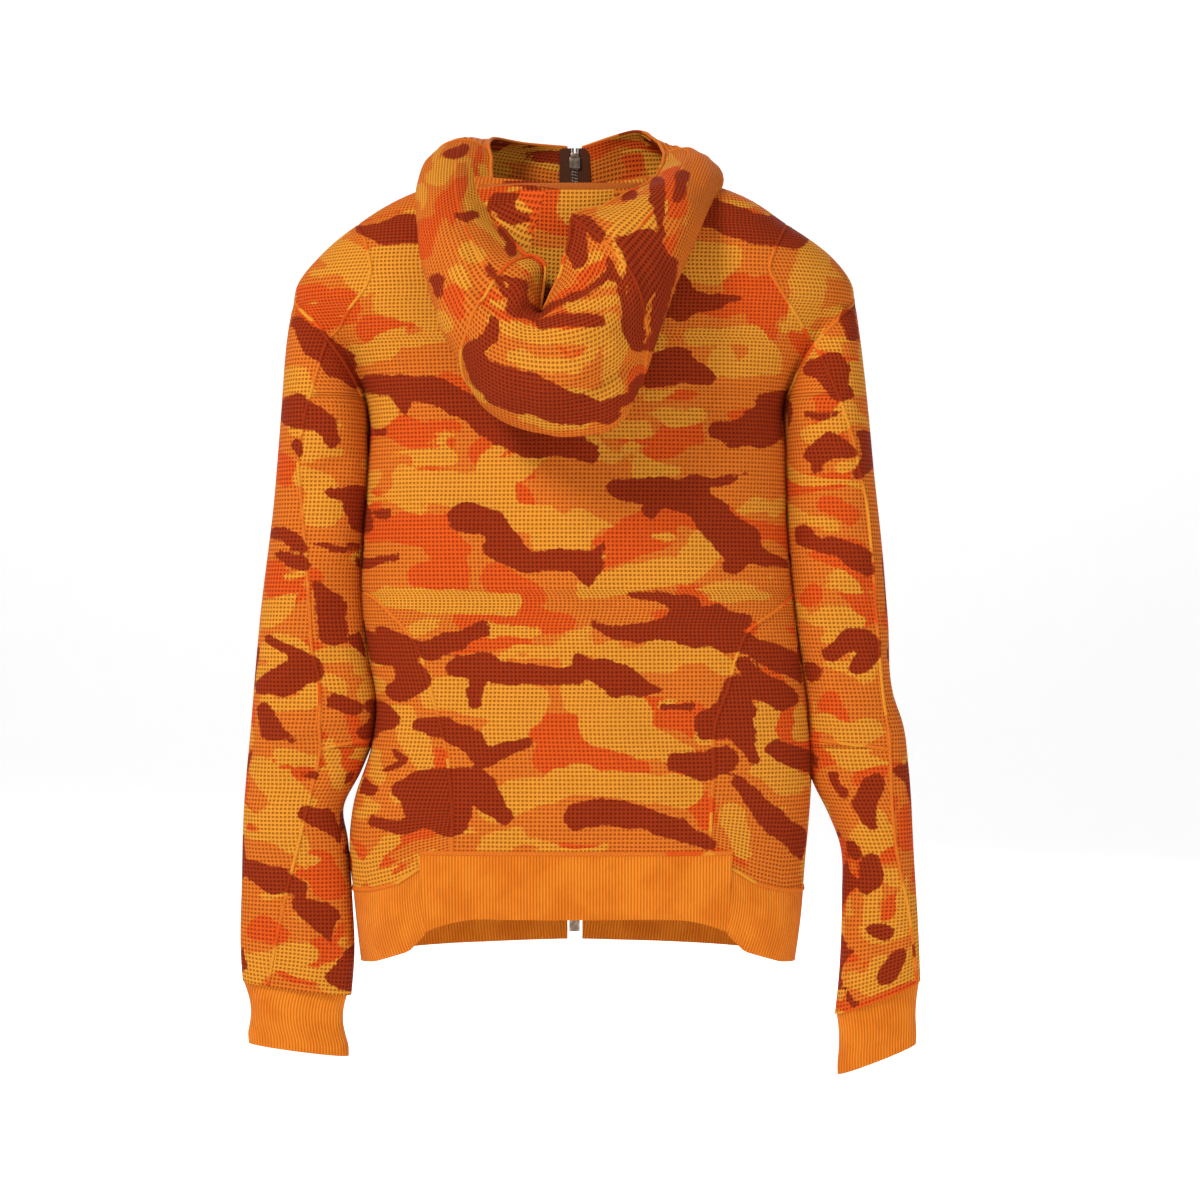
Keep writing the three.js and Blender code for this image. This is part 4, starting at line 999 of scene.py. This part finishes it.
def hood_grid(first, last, low=0.0, high=7.0, fine=9, rows=62, inset=0.0):
    """The hood's cloth between two places round the neck, rim at the top and neck seam at the bottom."""
    round_neck = through(hood_lines, np.linspace(first, last, int((last - first) * fine) + 1))
    up = through(np.swapaxes(round_neck, 0, 1), np.linspace(high, low, rows))
    way = facing_of(up)
    place = np.linspace(first, last, up.shape[1])[None, :]
    rise = np.linspace(high, low, rows)[:, None]
    loose = (1.8 * drift(place * 1.3, rise * 0.9, 3) + 1.0 * drift(place * 3.1, rise * 1.9, 5))
    loose = loose * np.clip((rise - 2) / 1.5, 0, 1) * np.clip(4 - np.abs(place - 10.5) / 2.5, 0, 1)
    across, height = from_behind(up)
    folds = sum(crease(across, height, *fold) for fold in HOOD_FOLDS)
    outside = np.clip((rise - 2.6) / 0.8, 0, 1) * np.clip((6.9 - rise) / 0.6, 0, 1)
    outside = outside * np.clip((-30 - up[..., 1]) / 30, 0, 1)
    return up + way * (loose + inset - folds * outside)[..., None]


HOOD_FOLDS = [((60, -138), (-6, -178), 7, -7), ((-84, -96), (-32, -113), 8, 6),
              ((-32, -113), (37, -111), 9, 6), ((-22, -98), (35, -52), 6, -5), ((-58, -70), (-26, -98), 6, 4),
              ((-95, -62), (-58, -112), 8, -4), ((39, -22), (58, -101), 7, 4),
              ((-30, -150), (30, -158), 16, 4), ((-100, -20), (-92, -110), 9, 3)]
HOOD_BEND = ("torso", "hood", Vector((0, -0.010, 0.020)), Vector((0, -0.100, -0.030)))
HOOD_PANELS = [("hood_front_left", 0, 3.4, "torso"), ("hood_panel_left", 3.4, 8.4, HOOD_BEND),
               ("hood_panel_centre", 8.4, 12.9, HOOD_BEND), ("hood_panel_right", 12.9, 17.6, HOOD_BEND),
               ("hood_front_right", 17.6, 21, "torso")]
for step, (node, first, last, body) in enumerate(HOOD_PANELS):
    grid = hood_grid(first, last)
    rise = np.linspace(7, 0, grid.shape[0])[:, None]
    laid = np.clip((rise - 2.2) / 0.4, 0, 1) * np.clip((45 - grid[..., 1]) / 15, 0, 1)
    cloth = cloth_mesh(node + "_cloth", grid, print_on(80 + 3 * step, HOOD_PRINT, laid), turn=-1)
    sew_on(cloth, node, body, knit)

# Inside the rim a facing of the same knit is turned in and stitched down, and the neck seam is
# covered inside with a woven tape.

facing = cloth_mesh("hood_facing_cloth", hood_grid(1.5, 19.5, low=5.7, rows=12, inset=CLOTH + 0.5),
                    print_on(97),
                    turn=-1, thick=1.2)
sew_on(facing, "hood_facing", HOOD_BEND, knit)


def woven_tape(name, dark, pale, pitch, roughness=0.7):
    """Woven tape: fine slanting ribs that change direction down its middle, with painted shade darkening the
    grooves between them.
    """
    material, wire, surface = new_material(name, roughness)
    place = wire.add("TexCoord", out=3)
    across = wire.add("SeparateXYZ", None, {0: place})
    slant = wire.math("ABSOLUTE", across) + Wire(wire.tree, across.socket.node.outputs[2])
    weave = slant.ribs(pitch)
    yarn = wire.add("TexNoise", None, {"Vector": place, "Scale": 1500.0, "Detail": 2.0})
    # The dark colour lies in the grooves between the ribs as painted shade; the yarn noise adds random tone.
    finish_material(wire, surface, weave.dye(dark, pale).shade(0.85 + yarn * 0.3), weave, 0.0003)
    return material


x = np.linspace(-80, 80, 60)
rows = np.linspace(3.5, -8.5, 6)
flat = np.stack(np.broadcast_arrays(x[None, :], (-70.5 + 9.4 * np.abs(x / 80) ** 2.2)[None, :],
                                    rows[:, None]), -1)
tape = cloth_mesh("neck_tape_cloth", flat, plain, centre=(0, 40, 0), thick=0.9)
sew_on(tape, "neck_tape", "torso", woven_tape("neck_binding", paint(150, 70, 20), paint(206, 110, 38),
                                              0.0016))

# ---- Pockets --------------------------------------------------------------------------------
# Each front has a slanting hand pocket: a ribbed welt at its mouth, and a bag of plain knit inside,
# caught in the hem seam.


def bag_knit():
    """Plain fine knit: close upright rows of stitches, a little uneven in tone, with painted shade between
    the rows.
    """
    material, wire, surface = new_material("pocket_bag_knit", 0.9, sheen=0.1)
    grain, across, _ = on_cloth(wire)
    rib = across.ribs(0.0015)
    yarn = wire.add("TexNoise", None, {"Vector": grain, "Scale": 1800.0, "Detail": 2.0})
    worn = wire.add("TexNoise", None, {"Vector": grain, "Scale": 20.0, "Detail": 3.0})
    tone = worn.ramp(0.35, 0.65).dye(paint(222, 116, 36), paint(238, 134, 48))
    # Painted shade darkens the grooves between the rows; the yarn noise adds random tone.
    finish_material(wire, surface, tone.shade(0.8 + rib * 0.15 + yarn * 0.1), rib + yarn * 0.3, 0.0004)
    return material


bagging = bag_knit()
for side, sign in SIDES:
    z = rows_between(-538, -332, 8)
    near = np.interp(z, [-540, -440, -400, -330], [41, 41, 60, 66])
    far = np.interp(z, [-540, -430, -330], [149, 149, 113])
    x = sign * span(near, far, 16, (False, False))
    bag = body_point(x, levels(z, x), False) - np.array([0, 4.5, 0])
    cloth = cloth_mesh(f"pocket_bag_{side}_cloth", bag, plain, centre=(0, 0, -430), thick=1.2)
    sew_on(cloth, f"pocket_bag_{side}", "torso", bagging)
    t = np.linspace(0, 1, 40)[None, :]
    across = np.linspace(-6.5, 6.5, 8)[:, None]
    x = sign * (70 + 74.5 * t + 0.83 * across)
    z = -320 - 109 * t + 0.55 * across
    proud = 1.9 + 0.9 * np.cos(across / 6.5 * np.pi / 2)
    mouth = body_point(x, z, False) + np.stack([0 * x, proud + 0 * x, 0 * x], -1)
    welt = cloth_mesh(f"pocket_welt_{side}_cloth", mouth, plain, centre=(0, 0, -430), thick=2.2)
    sew_on(welt, f"pocket_welt_{side}", "torso", ribbing)

# ---- Covered seams --------------------------------------------------------------------------
# Every seam between two panels is covered by a narrow raised band of stitching, pressed to one side.
# One side of the band is painted in shade, and its slanting stitches are lighter, partly the stitch pattern
# and partly a painted highlight.


def seam_knit():
    """The covered seams: the print of the panels, crossed by short slanting stitches that are painted lighter
    as a highlight, with painted shade over one side.
    """
    material, wire, surface = new_material("covered_seam", 0.9)
    _, across, along = on_cloth(wire)
    stitch = (across * 0.7 + along).ribs(0.0022)
    colour = print_colours(wire, 0.0, 1.0)
    # Painted shade over one side of the band, and a painted highlight on the raised stitches, which also show
    # the stitch pattern.
    shaded_side = across.ramp(0.0002, 0.0009)
    light = (0.94 + stitch * 0.2) * (1.0 - shaded_side * 0.68)
    finish_material(wire, surface, colour.shade(light), stitch, 0.0004)
    return material


seam_finish = seam_knit()


def seam(name, path, out, body, width=1.5, height=1.2, chains=BODY_PRINT, laid=None):
    """A low half-round band along a path, standing off the cloth in the direction out at each point."""
    path = np.array(path, float)
    along = unit(np.gradient(path, axis=0))
    aside = unit(np.cross(along, np.broadcast_to(np.array(out, float), path.shape)))
    up = np.cross(aside, along)
    turn = np.linspace(0, 2 * np.pi, 9)[None, :, None]
    ring = path[:, None, :] + aside[:, None, :] * np.cos(turn) * width
    ring = ring + up[:, None, :] * np.sin(turn) * height
    points = ring[:, :-1].reshape(-1, 3)
    count, around = len(path), 8
    index = np.arange(count * around).reshape(count, around)
    nxt = np.roll(index, -1, 1)
    faces = np.stack([index[:-1], nxt[:-1], nxt[1:], index[1:]], -1).reshape(-1, 4).tolist()
    faces += [index[0].tolist(), index[-1][::-1].tolist()]
    mesh = bpy.data.meshes.new(name)
    mesh.from_pydata((points * MM).tolist(), [], faces)
    far = lengths(path[:, None, :], 0)[:, 0]
    flat = np.stack([np.tile(np.linspace(-width, width, around), count), np.repeat(far, around)], -1) * MM
    order = np.array([v for f in faces for v in f])
    mesh.uv_layers.new(name="grain").data.foreach_set("uv", flat[order].ravel().astype(np.float32))
    for key, value in printed(points[:, ::2], points, 2, chains, laid).items():
        mesh.attributes.new(key, "FLOAT", "POINT").data.foreach_set("value", value.astype(np.float32))
    mesh.shade_smooth()
    made = bpy.data.objects.new(name, mesh)
    scene.collection.objects.link(made)
    mesh.materials.append(seam_finish)
    join(made, body)


def skin_path(x, z, back):
    """A path on the body, and the way out from the body along it."""
    path = body_point(x, z, back)
    reach = 1.5
    dx = body_point(x + reach, z, back)[..., 1] - body_point(x - reach, z, back)[..., 1]
    dz = body_point(x, z + reach, back)[..., 1] - body_point(x, z - reach, back)[..., 1]
    out = np.stack([-dx / (2 * reach), np.ones_like(x), -dz / (2 * reach)], -1) * (-1 if back else 1)
    return path, unit(out)


def band_seam(name, fractions, top, back, sign):
    """The seam along the top of a hem band."""
    edge = np.where(sign < 0, left_edge(top), right_edge(top))
    x = np.abs(fractions) * edge
    path = np.where(back[:, None], body_point(x, top, True), body_point(x, top, False))
    seam(name, path, unit(path * np.array([1, 1, 0])), "torso", width=2.0, height=1.3)


for side, sign in SIDES:
    z = np.linspace(BACK_END, SIDE_TOP - 2, 80)
    path, out = skin_path(back_limit[side](z), z, True)
    seam(f"princess_seam_back_{side}", path, out, "torso")
    z = np.linspace(FRONT_END + 1, SIDE_TOP - 2, 80)
    path, out = skin_path(back_limit[side](z), z, False)
    seam(f"princess_seam_front_{side}", path, out, "torso")
    z = np.linspace(SIDE_TOP - 1, ARMPIT - 2, 50)
    edge = body_edge[side](z)
    seam(f"side_seam_{side}", np.stack([edge, 0 * z, z], -1), (sign, 0, 0), "torso")
    z = np.linspace(-127, -28, 50)
    for face, back in (("back", True), ("front", False)):
        path, out = skin_path(patch_seam[side](z), z, back)
        seam(f"patch_seam_{face}_{side}", path, out, "torso")
        low = np.linspace(-176, -91, 40)
        path, out = skin_path(armhole[side](low), low, back)
        seam(f"armhole_seam_{face}_{side}", path, out, "torso", width=1.8, height=1.2)
    z = np.linspace(-30, 16, 26)
    edge = body_edge[side](z)
    seam(f"shoulder_seam_{side}", np.stack([edge, 0 * z, z], -1), (0, 0, 1), "torso")
    for face, back in (("back", True), ("front", False)):
        out = (0, -1 if back else 1, 0)
        z = np.linspace(SLEEVE_END + 2, -130, 150)
        seam(f"sleeve_seam_{face}_{side}", sleeve_point(outer_seam[side](z), z, side, back), out,
             swing_of(side, sign))
        t = np.linspace(0, 1, 30)
        x = outer_seam[side](float(ELBOW)) * (1 - t) + sleeve_edges[side][1](float(ELBOW)) * t
        seam(f"elbow_seam_{face}_{side}", sleeve_point(x, ELBOW - 1 + 8 * t, side, back), out,
             swing_of(side, sign))

band_seam("band_seam_back", back_places, band_top, all_behind, np.sign(back_places - 1e-6))
for side, sign in SIDES:
    fractions, top, back = side_band_line()
    band_seam(f"band_seam_{side}", fractions, top, back, np.full(fractions.size, sign))
hood_rim = hood_grid(0, 21, low=6.0, fine=12, rows=3)
seam("hood_rim_roll", hood_rim[0], (0, 0, 1), HOOD_BEND, width=1.7, height=1.7, chains=HOOD_PRINT, laid=1.0)
hem_line = hood_grid(1, 20, low=5.75, fine=12, rows=40)
seam("hood_facing_stitching", hem_line[-1], -facing_of(hem_line)[-1], HOOD_BEND, width=1.0, height=0.6,
     chains=HOOD_PRINT, laid=1.0)
for node, first, last, body in HOOD_PANELS[:-1]:
    line = hood_grid(last - 0.2, last, low=0.2, rows=60, fine=10)
    seam(node + "_seam", line[:, -1], -facing_of(line)[:, -1], HOOD_BEND, chains=HOOD_PRINT, laid=1.0)

# ---- Zip ------------------------------------------------------------------------------------
# A separating zip on woven tape: metal teeth clamped on both edges, a slider with a hanging pull,
# stops at the top, and a pin and box at the bottom.


def bronze(name, base, roughness):
    """Dark plated metal, brighter where it has rubbed."""
    material, wire, surface = new_material(name, roughness, metallic=1.0)
    place = wire.add("TexCoord", out=3)
    rub = wire.add("TexNoise", None, {"Vector": place, "Scale": 240.0, "Detail": 5.0})
    tone = rub.ramp(0.4, 0.72).dye(base, tuple(min(1, c * 2.2) for c in base[:3]) + (1,))
    finish_material(wire, surface, tone.shade(0.9 + rub * 0.2), rub, 0.00005)
    return material


metal = bronze("zip_metal", paint(128, 112, 98), 0.34)
zip_cloth = woven_tape("zip_tape", paint(64, 34, 20), paint(96, 52, 30), 0.0011)
TEETH_Y, TEETH_LOW, TEETH_TOP, TEETH_STEP = 80.7, -629, 55, 2.8


def solid(name, shapes, bevel):
    """One mesh of several boxes, each (low corner, high corner), with rounded edges."""
    build = bmesh.new()
    for low, high in shapes:
        made = bmesh.ops.create_cube(build, size=1)["verts"]
        low, high = Vector(low) * MM, Vector(high) * MM
        for v in made:
            v.co = Vector((v.co[k] + 0.5) * (high[k] - low[k]) + low[k] for k in range(3))
    bmesh.ops.bevel(build, geom=build.edges[:], offset=bevel * MM, segments=2, profile=0.6, affect="EDGES",
                    clamp_overlap=True)
    mesh = bpy.data.meshes.new(name)
    build.to_mesh(mesh)
    build.free()
    mesh.shade_smooth()
    mesh.set_sharp_from_angle(angle=math.radians(50))
    made = bpy.data.objects.new(name, mesh)
    scene.collection.objects.link(made)
    mesh.materials.append(metal)
    return made


def refinish(node, material):
    """Gives a piece of the frame another material."""
    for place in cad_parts[node].material_slots:
        place.material = material


for side, sign in SIDES:
    teeth = []
    start = TEETH_LOW if side == "right" else TEETH_LOW - 9
    for low in np.arange(start, TEETH_TOP, TEETH_STEP):
        z = low + (0.9 if side == "left" else -0.5)
        near, far = sorted((sign * 0.25, sign * 2.7))
        teeth.append(((near, TEETH_Y - 1.5, z), (far, TEETH_Y + 1.5, z + 1.5)))
        near, far = sorted((-sign * 0.5, sign * 0.6))
        teeth.append(((near, TEETH_Y - 0.9, z + 0.25), (far, TEETH_Y + 0.9, z + 1.15)))
    row = solid(f"zip_teeth_{side}_row", teeth, 0.22)
    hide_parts(f"zip_teeth_{side}")
    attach(row, "torso")
    refinish(f"zip_top_stop_{side}", metal)
    refinish(f"zip_tape_{side}", zip_cloth)
refinish("zip_pin", metal)
refinish("zip_retainer_box", metal)

slider = solid("zip_slider_body", [((-4.8, 82.5, 41.2), (4.8, 83.7, 51.5)),
                                   ((-3.6, 82.5, 50.5), (3.6, 83.7, 55.2)),
                                   ((-4.8, 77.7, 41.2), (4.8, 78.9, 51.5)),
                                   ((-3.6, 77.7, 50.5), (3.6, 78.9, 55.2)),
                                   ((-0.5, 78.5, 50.2), (0.5, 83.0, 54.6)),
                                   ((-4.8, 82.3, 41.2), (-4.1, 83.7, 50)),
                                   ((4.1, 82.3, 41.2), (4.8, 83.7, 50)),
                                   ((-1.0, 83.5, 42.8), (1.0, 88.1, 44.2)),
                                   ((-1.0, 83.5, 52.0), (1.0, 88.1, 53.4)),
                                   ((-1.0, 86.9, 42.8), (1.0, 88.1, 53.4))], 0.3)
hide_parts("zip_slider")
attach(slider, "slider")
pull = solid("zip_pull_tab", [((-2.6, 84.5, 47.0), (2.6, 85.9, 49.0)),
                              ((-3.2, 84.5, 40.4), (-1.6, 85.9, 48.4)),
                              ((1.6, 84.5, 40.4), (3.2, 85.9, 48.4)), ((-3.2, 84.5, 24.0), (3.2, 85.9, 41.4)),
                              ((-2.6, 84.2, 26.0), (2.6, 86.2, 38.0)),
                              ((-2.7, 84.5, 18.2), (2.7, 85.9, 24.6))], 0.35)
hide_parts("zip_pull")
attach(pull, "pull")
